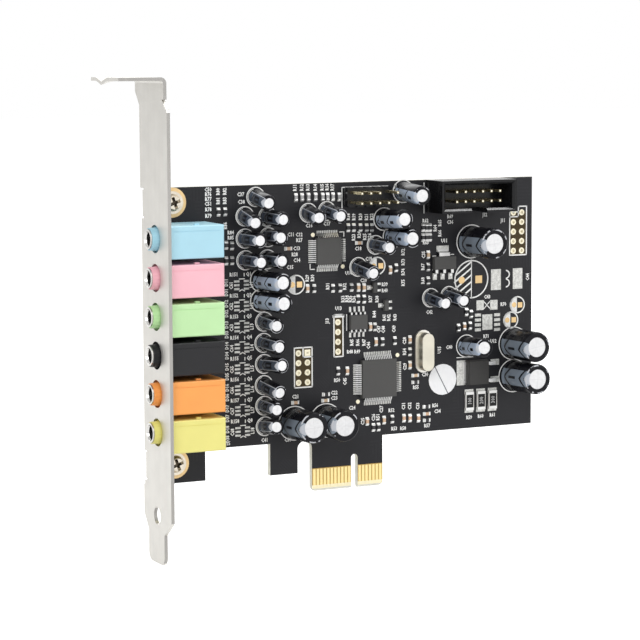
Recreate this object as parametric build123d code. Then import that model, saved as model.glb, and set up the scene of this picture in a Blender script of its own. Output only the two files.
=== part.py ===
from build123d import *
import math
import os

# Sound card for a PCI Express x1 slot, with a full-height bracket and six 3.5 mm jacks.
# X runs along the board away from the bracket, the components face -Y, and Z is up.
# The origin is at the key notch, on the bottom edge of the edge connector, in the board's middle plane.

# Repeated round pieces are drawn with flat sides
round_sides = 20
screw_sides = 12
hole_sides = 6
can_sides = 14

# Circuit board
board_thickness = 1.6
board_left = -55.9
board_length = 108.7
board_top = 79.4
board_bottom = 13.2
tab_right = -41.8
tab_bottom = 5.2
hook_left = -23.9
hook_right = -16.2
hook_bottom = 5.05
tongue_left = -12.15
tongue_right = 8.15
tongue_corner = 0.8
slot_round = 1.9
key_width = 1.9
key_height = 8.8
bevel_height = 0.6
bevel_depth = 0.3

# Gold contacts of the edge connector, on both sides of the key notch
contact_pitch = 1.0
contact_width = 0.7
contact_top = 5.7
contact_thickness = 0.05
contact_start = 1.5
contacts_left = 11
contacts_right = 7

# Plated holes for pin headers that are not fitted: left column, top row, and how many of each
header_pitch = 2.54
plated_hole_radius = 0.48
low_header_x = -15.82
low_header_z = 36.06
low_header_columns = 2
low_header_rows = 4
middle_header_x = -4.59
middle_header_z = 43.45
middle_header_columns = 1
middle_header_rows = 4
end_header_inset = 5.66
end_header_z = 69.99
end_header_columns = 2
end_header_rows = 5

# Bracket sheet
sheet = 0.86
bracket_gap = 0.39
bracket_height = 120.0
toe_drop = 13.35
flange_reach = 11.43
flange_far = 5.1
flange_width = 19.05
flange_bend = 1.5
blade_far = 2.35
blade_width = 18.42
shoulder_drop = 3.55
shoulder_height = 3.3
relief_drop = 5.35
relief_depth = 1.05
relief_height = 3.1
toe_length = 7.7
taper_height = 3.75
toe_far = -0.6
toe_width = 10.6
toe_round = 2.2
vent_radius = 2.25
vent_y = -6.6
vent_rise = 11.95
notch_radius = 2.2
notch_reach = 5.75
notch_inset = 2.6
dimple_length = 3.1
dimple_far = 1.75
dimple_width = 7.75
dimple_depth = 1.0

# Screws, and the bracket tabs behind the board that they hold it to
screw_x = -50.0
upper_screw_drop = 3.75
lower_screw_rise = 4.95
screw_radius = 1.45
screw_reach = 0.9
head_radius = 2.85
head_height = 1.9
head_brim = 0.5
dome_radius = 2.4
dome_draft = 22
board_screw_hole = 1.75
thread_clearance = 0.05
recess_width = 0.8
recess_length = 3.1
recess_depth = 1.1
screw_tab_length = 10.6
screw_tab_corner = 1.8
tab_bend = 1.0
tab_relief = 0.5
tab_relief_depth = 1.6

# Jacks, from the top one down
jack_colours = ["blue", "pink", "green", "black", "orange", "yellow"]
jack_drop = 12.1
jack_pitch = 9.55
jack_gap = 0.2
jack_length = 14.8
jack_height = 12.5
jack_width = 8.1
jack_axis_rise = 0.65
jack_edge = 0.25
jack_axis_height = 6.4
collar_radius = 2.95
collar_draft = 4
collar_reach = 1.6
collar_hole_gap = 0.55
bush_radius = 2.5
bush_reach = 1.95
bush_length = 8.0
bush_edge = 0.25
bush_fit = 0.03
plug_bore_radius = 1.8
jack_wall = 1.1
seam_drop = 1.35
seam_width = 0.2
seam_depth = 0.12
pip_length = 1.2
pip_width = 1.0
pip_height = 0.4
pip_back = 6.5
pip_inset = 2.2
spring_width = 1.2
spring_thickness = 0.3
spring_leaf = 2.2
spring_gap = 0.06
ring_spring_back = 1.0
tip_spring_back = 6.2

# Electrolytic capacitors: x, z and the lean in degrees towards +X and +Z
can_seat = 0.02
small_can_radius = 2.0
small_can_height = 8.5
small_can_places = [
    (-27.4, 76.4, -1, -8), (-30.4, 71.6, -6, -8), (-24.2, 71.3, 4, -2), (-30.4, 66.0, 3, 0),
    (-24.0, 66.1, -2, 3), (-30.3, 60.5, 4, 0), (-24.3, 60.5, 2, 1), (-25.3, 44.7, -2, -2),
    (-25.5, 39.3, 4, -2), (-25.4, 33.9, 8, 3), (-25.5, 28.5, 4, -7), (-25.4, 23.2, -2, 0),
    (-25.3, 17.9, -4, 7), (-12.8, 71.9, -7, -5), (-7.6, 72.2, -1, -6), (6.3, 63.0, -1, -1),
    (1.3, 57.5, 1, -7), (22.4, 48.5, -1, -5), (27.8, 48.8, -1, -4)]
medium_can_radius = 2.5
medium_can_height = 11.4
medium_can_places = [
    (-26.1, 55.3, 5, 1), (-26.1, 50.1, 6, 1), (14.3, 76.6, -2, -3), (8.7, 69.6, 1, 3),
    (11.4, 65.0, -1, 1), (33.0, 35.2, -5, 4)]
large_can_radius = 4.0
large_can_height = 12.0
large_can_places = [
    (-17.1, 18.1, 0, 2), (-8.2, 18.2, -1, 1), (34.5, 62.8, 1, 1), (47.3, 35.1, 1, 1), (47.3, 26.4, 2, 2)]

# Chips: body size along X and Z, height, and the leads that carry the body clear of the board
chip_draft = 8
chip_clear = 0.1
codec_x = -7.6
codec_z = 62.0
codec_body = 7.0
codec_height = 1.4
codec_span = 9.2
codec_leads = 12
controller_x = 6.7
controller_z = 28.3
controller_body = 10.0
controller_height = 1.4
controller_span = 12.6
controller_leads = 16
quad_pitch = 0.5
quad_lead_width = 0.24
quad_lead_thickness = 0.15
amplifier_x = 0.8
amplifier_z = 43.3
amplifier_length = 4.9
amplifier_width = 3.9
amplifier_height = 1.5
amplifier_span = 6.3
amplifier_leads = 4
amplifier_pitch = 1.27
amplifier_lead_width = 0.45
amplifier_lead_thickness = 0.2

# Regulators
regulator_x = 25.9
regulator_z = 57.6
regulator_length = 6.5
regulator_width = 3.5
regulator_height = 1.6
regulator_span = 7.2
regulator_pitch = 2.3
regulator_lead_width = 0.75
regulator_tab_width = 3.1
regulator_lead_thickness = 0.28
power_x = 35.75
power_z = 28.1
power_length = 6.2
power_width = 6.7
power_height = 2.3
power_tab_reach = 0.75
power_tab_width = 5.6
power_tab_thickness = 0.5
power_lead_reach = 2.8
power_lead_pitch = 4.56
power_lead_width = 0.85
power_lead_thickness = 0.5

# Crystal, its long side along Z
crystal_x = 19.9
crystal_z = 34.6
crystal_base_length = 11.3
crystal_base_width = 4.7
crystal_base_height = 0.7
crystal_can_length = 10.2
crystal_can_width = 3.7
crystal_can_height = 2.8
crystal_can_draft = 3

# Power resistors
resistor_x = 33.85
resistor_z = 20.45
resistor_pitch = 3.5
resistor_count = 3
resistor_length = 4.95
resistor_width = 2.4
resistor_height = 0.6
resistor_end = 0.75

# Shrouded header with two rows of pins
shroud_x = 32.0
shroud_z = 75.2
shroud_length = 22.0
shroud_width = 8.4
shroud_height = 9.0
shroud_wall = 1.1
shroud_floor = 2.6
shroud_key = 4.5
shroud_lip = 0.5
shroud_columns = 6
pin_side = 0.64
shroud_pin_height = 8.4

# Open pin header, with one pin of its upper row left out
strip_x = 3.4
strip_z = 75.6
strip_columns = 5
strip_height = 2.5
strip_corner = 0.5
strip_pin_height = 8.5
left_out_column = 3

# Round paper sticker
sticker_x = 25.9
sticker_z = 26.7
sticker_radius = 4.1
sticker_thickness = 0.1

board_right = board_left + board_length
front_y = -board_thickness / 2
back_y = board_thickness / 2
bracket_inner = board_left - bracket_gap
bracket_outer = bracket_inner - sheet
blade_near = blade_far - blade_width
bracket_bottom = -toe_drop
flange_top = bracket_bottom + bracket_height
shoulder_top = flange_top - shoulder_drop
shoulder_bottom = shoulder_top - shoulder_height
relief_top = flange_top - relief_drop
relief_bottom = relief_top - relief_height
jack_front = bracket_inner + jack_gap
jack_axis_y = front_y - jack_axis_height
bush_end = bracket_outer - bush_reach
jack_heights = [board_top - jack_drop - jack_pitch * i for i in range(len(jack_colours))]
screw_heights = [board_top - upper_screw_drop, tab_bottom + lower_screw_rise]
screw_tab_width = 2 * (upper_screw_drop - tab_relief)
open_headers = [
    (low_header_x, low_header_z, low_header_columns, low_header_rows),
    (middle_header_x, middle_header_z, middle_header_columns, middle_header_rows),
    (board_right - end_header_inset, end_header_z, end_header_columns, end_header_rows)]

# On the component side: u along X, v along Z, w out of the board
component_side = Plane((0, front_y, 0), x_dir=(1, 0, 0), z_dir=(0, -1, 0))
solder_side = Plane((0, back_y, 0), x_dir=(-1, 0, 0), z_dir=(0, 1, 0))


def save(name, *solids):
    export_step(Compound(label=name, children=list(solids)), f"parts/{name}.step")


def corner_rectangle(left, right, bottom, top):
    return Pos((left + right) / 2, (bottom + top) / 2) * Rectangle(right - left, top - bottom)


def block(left, right, bottom, top, low, high):
    # Block on the component side, given by its edges along u, v and w
    size = Box(right - left, top - bottom, high - low)
    return component_side * Pos((left + right) / 2, (bottom + top) / 2, (low + high) / 2) * size


def turned(points):
    # Solid of revolution about Z from points (radius, height)
    outline = Polyline(*[(r, 0, h) for r, h in points], close=True)
    return revolve(make_face(outline), Axis.Z)


def circuit_board():
    outline = corner_rectangle(board_left, board_right, board_bottom, board_top)
    outline += corner_rectangle(board_left, tab_right, tab_bottom, board_bottom)
    outline += corner_rectangle(hook_left, hook_right, hook_bottom, board_bottom)
    outline += corner_rectangle(tongue_left, tongue_right, 0, board_bottom)
    slot_corners = [v for v in outline.vertices() if abs(v.Y - board_bottom) < 0.01]
    slot_corners = [v for v in slot_corners if hook_right - 0.01 < v.X < tongue_left + 0.01]
    outline = fillet(slot_corners, slot_round)
    toe_corners = [v for v in outline.vertices() if abs(v.Y) < 0.01]
    outline = chamfer(toe_corners, tongue_corner)
    key_centre = key_height - key_width / 2
    outline -= corner_rectangle(-key_width / 2, key_width / 2, -1, key_centre)
    outline -= Pos(0, key_centre) * Circle(key_width / 2)
    hole = RegularPolygon(plated_hole_radius, hole_sides)
    for left, top, columns, rows in open_headers:
        for column in range(columns):
            for row in range(rows):
                outline -= Pos(left + header_pitch * column, top - header_pitch * row) * hole
    for height in screw_heights:
        outline -= Pos(screw_x, height) * RegularPolygon(board_screw_hole, screw_sides)
    board = extrude(component_side * outline, -board_thickness)
    for side in (-1, 1):
        face = side * board_thickness / 2
        points = [(0, face, 0), (0, face, bevel_height), (0, face - side * bevel_depth, 0)]
        wedge = extrude(make_face(Polyline(*points, close=True)), tongue_right - tongue_left, dir=(1, 0, 0))
        board -= Pos(tongue_left, 0, 0) * wedge
    return board


def edge_contacts(side):
    # The contacts of one side, as flat gold bars on the board's face
    centres = [-contact_start - contact_pitch * i for i in range(contacts_left)]
    centres += [contact_start + contact_pitch * i for i in range(contacts_right)]
    middle = (bevel_height + contact_top) / 2
    bar = Box(contact_width, contact_thickness, contact_top - bevel_height)
    y = side * (board_thickness + contact_thickness) / 2
    return [Pos(x, y, middle) * bar for x in centres]


def blade_outline():
    # The sheet seen along X, as a face in the YZ plane, without its screw tabs
    flange_near = flange_far - flange_width
    taper_bottom = bracket_bottom + toe_length
    taper_top = taper_bottom + taper_height
    recess = back_y + sheet
    toe_near = toe_far - toe_width
    points = [
        (flange_near, relief_top), (flange_near, flange_top), (flange_far, flange_top),
        (flange_far, shoulder_top), (blade_far, shoulder_bottom), (blade_far, board_top),
        (recess, board_top), (recess, tab_bottom), (blade_far, tab_bottom), (blade_far, taper_top),
        (toe_far, taper_bottom), (toe_far, bracket_bottom), (toe_near, bracket_bottom),
        (toe_near, taper_bottom), (blade_near, taper_top), (blade_near, relief_bottom),
        (flange_near + relief_depth, relief_top)]
    face = make_face(Polyline(*points, close=True))
    toe = [v for v in face.vertices() if abs(v.Y - bracket_bottom) < 0.01]
    face = fillet(toe, toe_round)
    for height in screw_heights:
        half = screw_tab_width / 2 + tab_relief
        face -= corner_rectangle(recess - tab_relief_depth, recess + 1, height - half, height + half)
    for height in jack_heights:
        face -= Pos(jack_axis_y, height) * RegularPolygon(collar_radius + collar_hole_gap, round_sides)
    face -= Pos(vent_y, bracket_bottom + vent_rise) * Circle(vent_radius)
    return face


def screw_tab(height):
    # Tab folded from the blade's edge to lie behind the board, with a threaded hole
    recess = back_y + sheet
    root = recess - tab_relief_depth
    tip = bracket_inner + screw_tab_length
    inner_bend = tab_bend - sheet
    with BuildPart() as tab:
        with BuildSketch(Plane.XY.offset(height - screw_tab_width / 2)):
            with BuildLine():
                start = (bracket_inner, root)
                outside = Polyline(start, (bracket_outer, root), (bracket_outer, recess - tab_bend))
                bend = RadiusArc(outside @ 1, (bracket_outer + tab_bend, recess), tab_bend)
                end = Polyline(bend @ 1, (tip, recess), (tip, back_y), (bracket_inner + inner_bend, back_y))
                inside = RadiusArc(end @ 1, (bracket_inner, back_y - inner_bend), -inner_bend)
                Line(inside @ 1, start)
            make_face()
        extrude(amount=screw_tab_width)
        corners = tab.edges().filter_by(Axis.Y).filter_by(lambda e: abs(e.center().X - tip) < 0.01)
        chamfer(corners, screw_tab_corner)
    hole = Pos(screw_x, height) * RegularPolygon(screw_radius + thread_clearance, screw_sides)
    return tab.part - extrude(component_side * hole, -board_thickness - 2 * sheet)


def flange_dimple():
    # The end strip of the flange, pressed down in a shallow trough under the chassis screw
    end = bracket_outer - flange_reach
    shape = [(0, 0), (0.2, 0.3), (0.5, 1), (0.75, 0.5), (1, 0)]

    def section(x, depth):
        upper = [(x, dimple_far - s * dimple_width, flange_top - d * depth) for s, d in shape]
        lower = [(px, py, pz - sheet) for px, py, pz in reversed(upper)]
        return make_face(Polyline(*upper, *lower, close=True))

    flat = dimple_depth * 0.02
    return loft([section(end + dimple_length, flat), section(end, dimple_depth)], ruled=True)


def bracket():
    end = bracket_outer - flange_reach
    inner_bend = flange_bend - sheet
    bend_z = flange_top - flange_bend
    bend_x = bracket_inner - flange_bend
    with BuildSketch(Plane.XZ) as fold:
        with BuildLine():
            blade = Polyline(
                (bracket_outer, bend_z), (bracket_outer, bracket_bottom),
                (bracket_inner, bracket_bottom), (bracket_inner, bend_z))
            outer = RadiusArc(blade @ 1, (bend_x, flange_top), -flange_bend)
            flange = Polyline(
                outer @ 1, (end, flange_top), (end, flange_top - sheet), (bend_x, flange_top - sheet))
            RadiusArc(flange @ 1, blade @ 0, inner_bend)
        make_face()
    reach = max(flange_width, blade_width) * 2
    folded = extrude(fold.sketch, reach, both=True)
    through = extrude(Plane.YZ.offset(end - 1) * blade_outline(), bracket_inner - end + 2)
    part = folded & through
    for height in screw_heights:
        part += screw_tab(height)
    notch_x = bracket_outer - notch_reach
    notch = Pos(notch_x, flange_far - notch_inset, flange_top) * Cylinder(notch_radius, 4 * sheet)
    notch += Pos(notch_x, flange_far, flange_top) * Box(2 * notch_radius, 2 * notch_inset, 4 * sheet)
    part -= notch
    strip = Box(dimple_length, dimple_width, 4 * sheet)
    part -= Pos(end + dimple_length / 2, dimple_far - dimple_width / 2, flange_top) * strip
    return part + flange_dimple()


def bracket_screw(height):
    # Pan head on the component side, with a cross recess; the plain shank ends past the bracket's tab
    length = board_thickness + sheet + screw_reach
    screw = extrude(RegularPolygon(head_radius, round_sides), head_brim)
    screw += extrude(RegularPolygon(dome_radius, round_sides), head_height, taper=dome_draft)
    screw += extrude(RegularPolygon(screw_radius, screw_sides), -length)
    for turn in (20, 110):
        slot = Box(recess_length, recess_width, 2 * recess_depth)
        screw -= Pos(0, 0, head_height) * Rot(0, 0, turn) * slot
    return component_side * Pos(screw_x, height, 0) * screw


def jack_housing(height):
    # Moulded shell round a bush, whose axis lies above the middle of the shell
    middle = height - jack_axis_rise
    rear = jack_front + jack_length
    top = front_y - jack_height
    body = Box(jack_length, jack_height, jack_width)
    body = Pos((jack_front + rear) / 2, (front_y + top) / 2, middle) * body
    face_edges = body.faces().sort_by(Axis.Y)[0].edges()
    body = chamfer(face_edges, jack_edge)
    collar_length = jack_front - bracket_outer + collar_reach
    collar = extrude(RegularPolygon(collar_radius, round_sides), collar_length, taper=collar_draft)
    body += Pos(jack_front, jack_axis_y, height) * Rot(0, -90, 0) * collar
    chamber_front = bush_end + bush_length
    bush_hole = extrude(RegularPolygon(bush_radius + bush_fit, round_sides), bush_length)
    body -= Pos(chamber_front, jack_axis_y, height) * Rot(0, -90, 0) * bush_hole
    chamber_length = rear - jack_wall - chamber_front
    chamber_depth = jack_height - jack_wall
    chamber = Box(chamber_length, chamber_depth, jack_width - 2 * jack_wall)
    body -= Pos(chamber_front + chamber_length / 2, front_y - chamber_depth / 2, middle) * chamber
    groove = Box(jack_length - 2 * jack_wall, 2 * seam_depth, seam_width)
    body -= Pos(jack_front + jack_length / 2, top, middle + jack_width / 2 - seam_drop) * groove
    pip = Box(pip_length, pip_width, 2 * pip_height)
    return body + Pos(rear - pip_back, top + pip_inset, middle + jack_width / 2) * pip


def jack_bush(height):
    # Tube with a round bore that widens at its mouth
    bush = extrude(RegularPolygon(bush_radius, round_sides), bush_length)
    bush -= turned([
        (0, 0), (plug_bore_radius, 0), (plug_bore_radius, bush_length - 2 * bush_edge),
        (plug_bore_radius + bush_edge, bush_length), (0, bush_length)])
    return Pos(bush_end + bush_length, jack_axis_y, height) * Rot(0, -90, 0) * bush


def spring_roots():
    # Where the contact springs leave the board, behind the bush
    start = bush_end + bush_length
    return [start + ring_spring_back, start + tip_spring_back - spring_thickness]


def jack_springs(height):
    # Two leaf contacts: each stands on the board and turns along the plug's bore
    rise = jack_axis_height - plug_bore_radius - spring_gap
    springs = []
    for root, way in zip(spring_roots(), (1, -1)):
        low = front_y
        high = front_y - rise
        near = root - way * spring_thickness / 2
        far = root + way * spring_thickness / 2
        tip = near + way * spring_leaf
        points = [
            (near, low), (far, low), (far, high + spring_thickness),
            (tip, high + spring_thickness), (tip, high), (near, high)]
        leaf = extrude(make_face(Polyline(*points, close=True)), spring_width / 2, both=True)
        springs.append(Pos(0, 0, height) * leaf)
    return springs


def capacitor(radius, height, place):
    # Sleeved can, drawn with flat sides; where it leans, the edge of its base rests on the board
    x, z, lean_x, lean_z = place
    axis = Vector(math.tan(math.radians(lean_x)), math.tan(math.radians(lean_z)), 1).normalized()
    seat = radius * math.sqrt(max(0, 1 - axis.Z ** 2)) + can_seat
    can = extrude(RegularPolygon(radius, can_sides), height)
    return component_side * Plane((x, z, seat), z_dir=axis).location * can


def moulded_body(x, z, length, width, height):
    # Chip body with drafted sides, lifted off the board by its leads
    base = component_side * Pos(x, z, chip_clear + height / 2) * Rectangle(length, width)
    return extrude(base, height / 2, taper=chip_draft) + extrude(base, -height / 2, taper=chip_draft)


def slanted_lead(body_half, span, middle, thickness, width):
    # Fine lead from the side of a body down to the board, drawn along u and w
    points = [
        (body_half, 0, middle), (span / 2, 0, 0), (span / 2, 0, thickness),
        (body_half, 0, middle + thickness)]
    return extrude(make_face(Polyline(*points, close=True)), width / 2, both=True)


def gull_lead(body_half, span, middle, thickness, width):
    # Lead with a shoulder, a slope and a flat foot
    knee = body_half + (span / 2 - body_half) * 0.35
    heel = body_half + (span / 2 - body_half) * 0.6
    points = [
        (body_half, 0, middle), (knee, 0, middle), (heel - thickness / 2, 0, 0), (span / 2, 0, 0),
        (span / 2, 0, thickness), (heel + thickness / 2, 0, thickness),
        (knee + thickness, 0, middle + thickness), (body_half, 0, middle + thickness)]
    return extrude(make_face(Polyline(*points, close=True)), width / 2, both=True)


def quad_leads(x, z, body, height, span, count):
    middle = chip_clear + height / 2
    lead = slanted_lead(body / 2, span, middle, quad_lead_thickness, quad_lead_width)
    leads = []
    for turn in (0, 90, 180, 270):
        for i in range(count):
            offset = (i - (count - 1) / 2) * quad_pitch
            leads.append(component_side * Pos(x, z, 0) * Rot(0, 0, turn) * Pos(0, offset, 0) * lead)
    return leads


def amplifier_lead_rows():
    middle = chip_clear + amplifier_height / 2
    half = amplifier_width / 2
    lead = gull_lead(half, amplifier_span, middle, amplifier_lead_thickness, amplifier_lead_width)
    leads = []
    for turn in (90, 270):
        for i in range(amplifier_leads):
            offset = (i - (amplifier_leads - 1) / 2) * amplifier_pitch
            place = Pos(amplifier_x, amplifier_z, 0) * Rot(0, 0, turn) * Pos(0, offset, 0)
            leads.append(component_side * place * lead)
    return leads


def regulator_leads():
    middle = chip_clear + regulator_height / 2
    half = regulator_width / 2
    lead = gull_lead(half, regulator_span, middle, regulator_lead_thickness, regulator_lead_width)
    tab = gull_lead(half, regulator_span, middle, regulator_lead_thickness, regulator_tab_width)
    centre = component_side * Pos(regulator_x, regulator_z, 0)
    pieces = [centre * Rot(0, 0, 90) * tab]
    for i in (-1, 0, 1):
        pieces.append(centre * Rot(0, 0, 270) * Pos(0, i * regulator_pitch, 0) * lead)
    return pieces


def power_body():
    base = component_side * Pos(power_x, power_z, power_tab_thickness) * Rectangle(power_length, power_width)
    return extrude(base, power_height - power_tab_thickness, taper=chip_draft)


def power_leads():
    left = power_x - power_length / 2
    right = power_x + power_length / 2
    half = power_tab_width / 2
    tab = block(left - power_tab_reach, right, power_z - half, power_z + half, 0, power_tab_thickness)
    leads = [tab]
    middle = power_height / 2
    span = power_length + 2 * power_lead_reach
    lead = gull_lead(power_length / 2, span, middle, power_lead_thickness, power_lead_width)
    for side in (-0.5, 0.5):
        leads.append(component_side * Pos(power_x, power_z + side * power_lead_pitch, 0) * lead)
    return leads


def crystal_outline(length, width, rise):
    # Long shape with rounded ends, drawn with flat sides, at a height above the board
    outline = make_hull(
        (Pos(0, length / 2 - width / 2) * RegularPolygon(width / 2, can_sides)).edges()
        + (Pos(0, width / 2 - length / 2) * RegularPolygon(width / 2, can_sides)).edges())
    return component_side * Pos(crystal_x, crystal_z, rise) * outline


def crystal_base():
    return extrude(crystal_outline(crystal_base_length, crystal_base_width, 0), crystal_base_height)


def crystal_can():
    outline = crystal_outline(crystal_can_length, crystal_can_width, crystal_base_height)
    return extrude(outline, crystal_can_height, taper=crystal_can_draft)


def resistor_centres():
    return [resistor_x + resistor_pitch * i for i in range(resistor_count)]


def resistor_body(x):
    half = resistor_length / 2 - resistor_end
    side = resistor_width / 2
    return block(x - side, x + side, resistor_z - half, resistor_z + half, 0, resistor_height)


def resistor_ends(x):
    inner = resistor_length / 2 - resistor_end
    outer = resistor_length / 2
    side = resistor_width / 2
    upper = block(x - side, x + side, resistor_z + inner, resistor_z + outer, 0, resistor_height)
    lower = block(x - side, x + side, resistor_z - outer, resistor_z - inner, 0, resistor_height)
    return [upper, lower]


def header_pin(x, z, foot, height):
    # Square pin that stands in its plastic at the given foot
    half = pin_side / 2
    return block(x - half, x + half, z - half, z + half, foot, height)


def shroud():
    half_length = shroud_length / 2
    half_width = shroud_width / 2
    box = block(
        shroud_x - half_length, shroud_x + half_length, shroud_z - half_width, shroud_z + half_width,
        0, shroud_height)
    inner_length = half_length - shroud_wall
    inner_width = half_width - shroud_wall
    box -= block(
        shroud_x - inner_length, shroud_x + inner_length, shroud_z - inner_width, shroud_z + inner_width,
        shroud_floor, shroud_height + 1)
    mouth = Pos(shroud_x, shroud_z, shroud_height) * Rectangle(
        2 * (inner_length + shroud_lip), 2 * (inner_width + shroud_lip))
    box -= extrude(component_side * mouth, -shroud_lip, taper=45)
    box -= block(
        shroud_x - shroud_key / 2, shroud_x + shroud_key / 2, shroud_z - shroud_width, shroud_z,
        shroud_floor, shroud_height + 1)
    return box


def shroud_pins():
    pins = []
    for column in range(shroud_columns):
        x = shroud_x + (column - (shroud_columns - 1) / 2) * header_pitch
        for row in (-0.5, 0.5):
            pins.append(header_pin(x, shroud_z + row * header_pitch, shroud_floor, shroud_pin_height))
    return pins


def strip_base():
    # One chamfered cell for each column of pins
    cell = chamfer(Rectangle(header_pitch, 2 * header_pitch).vertices(), strip_corner)
    outline = Sketch()
    for column in range(strip_columns):
        outline += Pos((column - (strip_columns - 1) / 2) * header_pitch, 0) * cell
    return extrude(component_side * Pos(strip_x, strip_z, 0) * outline, strip_height)


def strip_pins():
    pins = []
    for column in range(strip_columns):
        x = strip_x + (column - (strip_columns - 1) / 2) * header_pitch
        for row in (-0.5, 0.5):
            if row > 0 and column == left_out_column:
                continue
            pins.append(header_pin(x, strip_z + row * header_pitch, strip_height, strip_pin_height))
    return pins


def sticker():
    outline = RegularPolygon(sticker_radius, round_sides)
    return extrude(component_side * Pos(sticker_x, sticker_z, 0) * outline, sticker_thickness)


os.makedirs("parts", exist_ok=True)
save("circuit_board", circuit_board())
save("edge_contacts_front", *edge_contacts(-1))
save("edge_contacts_back", *edge_contacts(1))
save("bracket", bracket())
save("bracket_screws", *[bracket_screw(height) for height in screw_heights])
for colour, height in zip(jack_colours, jack_heights):
    save(f"{colour}_jack_housing", jack_housing(height))
    save(f"{colour}_jack_bush", jack_bush(height))
    save(f"{colour}_jack_springs", *jack_springs(height))
save("small_capacitors", *[
    capacitor(small_can_radius, small_can_height, place) for place in small_can_places])
save("medium_capacitors", *[
    capacitor(medium_can_radius, medium_can_height, place) for place in medium_can_places])
save("large_capacitors", *[
    capacitor(large_can_radius, large_can_height, place) for place in large_can_places])
save("codec_chip", moulded_body(codec_x, codec_z, codec_body, codec_body, codec_height))
save("codec_leads", *quad_leads(codec_x, codec_z, codec_body, codec_height, codec_span, codec_leads))
save("controller_chip", moulded_body(
    controller_x, controller_z, controller_body, controller_body, controller_height))
save("controller_leads", *quad_leads(
    controller_x, controller_z, controller_body, controller_height, controller_span, controller_leads))
save("amplifier_chip", moulded_body(
    amplifier_x, amplifier_z, amplifier_length, amplifier_width, amplifier_height))
save("amplifier_leads", *amplifier_lead_rows())
save("regulator_body", moulded_body(
    regulator_x, regulator_z, regulator_length, regulator_width, regulator_height))
save("regulator_leads", *regulator_leads())
save("power_regulator_body", power_body())
save("power_regulator_leads", *power_leads())
save("crystal_base", crystal_base())
save("crystal_can", crystal_can())
save("power_resistors", *[resistor_body(x) for x in resistor_centres()])
save("power_resistor_ends", *[end for x in resistor_centres() for end in resistor_ends(x)])
save("header_shroud", shroud())
save("header_pins", *shroud_pins())
save("pin_strip_base", strip_base())
save("pin_strip_pins", *strip_pins())
save("paper_sticker", sticker())
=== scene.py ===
import math
from collections import namedtuple

import bpy
from mathutils import Matrix, Vector


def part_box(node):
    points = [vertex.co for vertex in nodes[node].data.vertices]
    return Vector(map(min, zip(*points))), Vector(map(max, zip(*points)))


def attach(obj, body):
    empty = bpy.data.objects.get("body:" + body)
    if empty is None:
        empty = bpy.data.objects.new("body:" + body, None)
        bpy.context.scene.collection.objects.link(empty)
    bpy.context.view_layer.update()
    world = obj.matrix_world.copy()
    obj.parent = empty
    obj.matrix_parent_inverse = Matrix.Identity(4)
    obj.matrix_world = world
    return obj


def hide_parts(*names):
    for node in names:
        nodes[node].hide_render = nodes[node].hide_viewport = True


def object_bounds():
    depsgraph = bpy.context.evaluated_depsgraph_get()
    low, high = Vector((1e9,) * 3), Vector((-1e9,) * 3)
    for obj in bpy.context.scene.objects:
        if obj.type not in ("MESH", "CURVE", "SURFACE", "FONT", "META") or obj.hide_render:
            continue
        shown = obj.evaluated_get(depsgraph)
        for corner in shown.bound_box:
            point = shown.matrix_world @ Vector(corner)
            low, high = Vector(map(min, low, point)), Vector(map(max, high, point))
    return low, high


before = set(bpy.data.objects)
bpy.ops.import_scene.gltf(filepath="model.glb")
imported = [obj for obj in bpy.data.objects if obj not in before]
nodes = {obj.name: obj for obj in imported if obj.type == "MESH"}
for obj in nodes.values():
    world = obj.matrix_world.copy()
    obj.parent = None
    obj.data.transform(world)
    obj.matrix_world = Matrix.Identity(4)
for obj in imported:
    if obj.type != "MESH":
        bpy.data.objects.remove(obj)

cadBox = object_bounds()
scene = bpy.context.scene
mm = 0.001  # sizes below are in millimetres
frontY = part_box("paper_sticker")[1].y  # the board's component face
backY = -frontY
pinPitch = 2.54
print("frame loaded:", len(nodes), "nodes")


# Camera, as the photograph was taken

cameraView = {
    "eye": (-0.26569, -0.54510, 0.11189),
    "azimuth": -25.191,
    "elevation": 6.411,
    "roll": -0.274,
    "focalPixels": 2362.6,
    "imagePixels": 640,
    "sensorWidth": 36,
    "clipStart": 0.01,
}


def addCamera(view):
    turn = math.radians(view["azimuth"])
    climb = math.radians(view["elevation"])
    back = Vector((math.sin(turn) * math.cos(climb), -math.cos(turn) * math.cos(climb), math.sin(climb)))
    right = Vector((math.cos(turn), math.sin(turn), 0))
    basis = Matrix((right, back.cross(right), back)).transposed().to_4x4()
    roll = Matrix.Rotation(math.radians(view["roll"]), 4, "Z")
    bpy.ops.object.camera_add()
    camera = bpy.context.object
    camera.data.sensor_width = view["sensorWidth"]
    camera.data.lens = view["sensorWidth"] * view["focalPixels"] / view["imagePixels"]
    camera.data.clip_start = view["clipStart"]
    camera.matrix_world = Matrix.Translation(view["eye"]) @ basis @ roll
    scene.camera = camera


addCamera(cameraView)
print("camera set")


# Shader maths: a wire is a node's output, and arithmetic on wires adds Math nodes

class Wire:
    def __init__(self, graph, socket):
        self.graph = graph
        self.socket = socket

    def maths(self, operation, *values):
        return self.graph.node("ShaderNodeMath", {"operation": operation}, dict(enumerate(values)))

    def __abs__(self):
        return self.maths("ABSOLUTE", self)

    def least(self, other):
        return self.maths("MINIMUM", self, other)

    def root(self):
        return self.maths("SQRT", self)


def overload(operator, operation):
    setattr(Wire, "__" + operator + "__", lambda self, other: self.maths(operation, self, other))
    setattr(Wire, "__r" + operator + "__", lambda self, other: self.maths(operation, other, self))


operators = {
    "add": "ADD", "sub": "SUBTRACT", "mul": "MULTIPLY", "truediv": "DIVIDE", "mod": "FLOORED_MODULO",
    "or": "MAXIMUM", "gt": "GREATER_THAN", "lt": "LESS_THAN",
}
for operator, operation in operators.items():
    overload(operator, operation)
Axes = namedtuple("Axes", "x y z")


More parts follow.
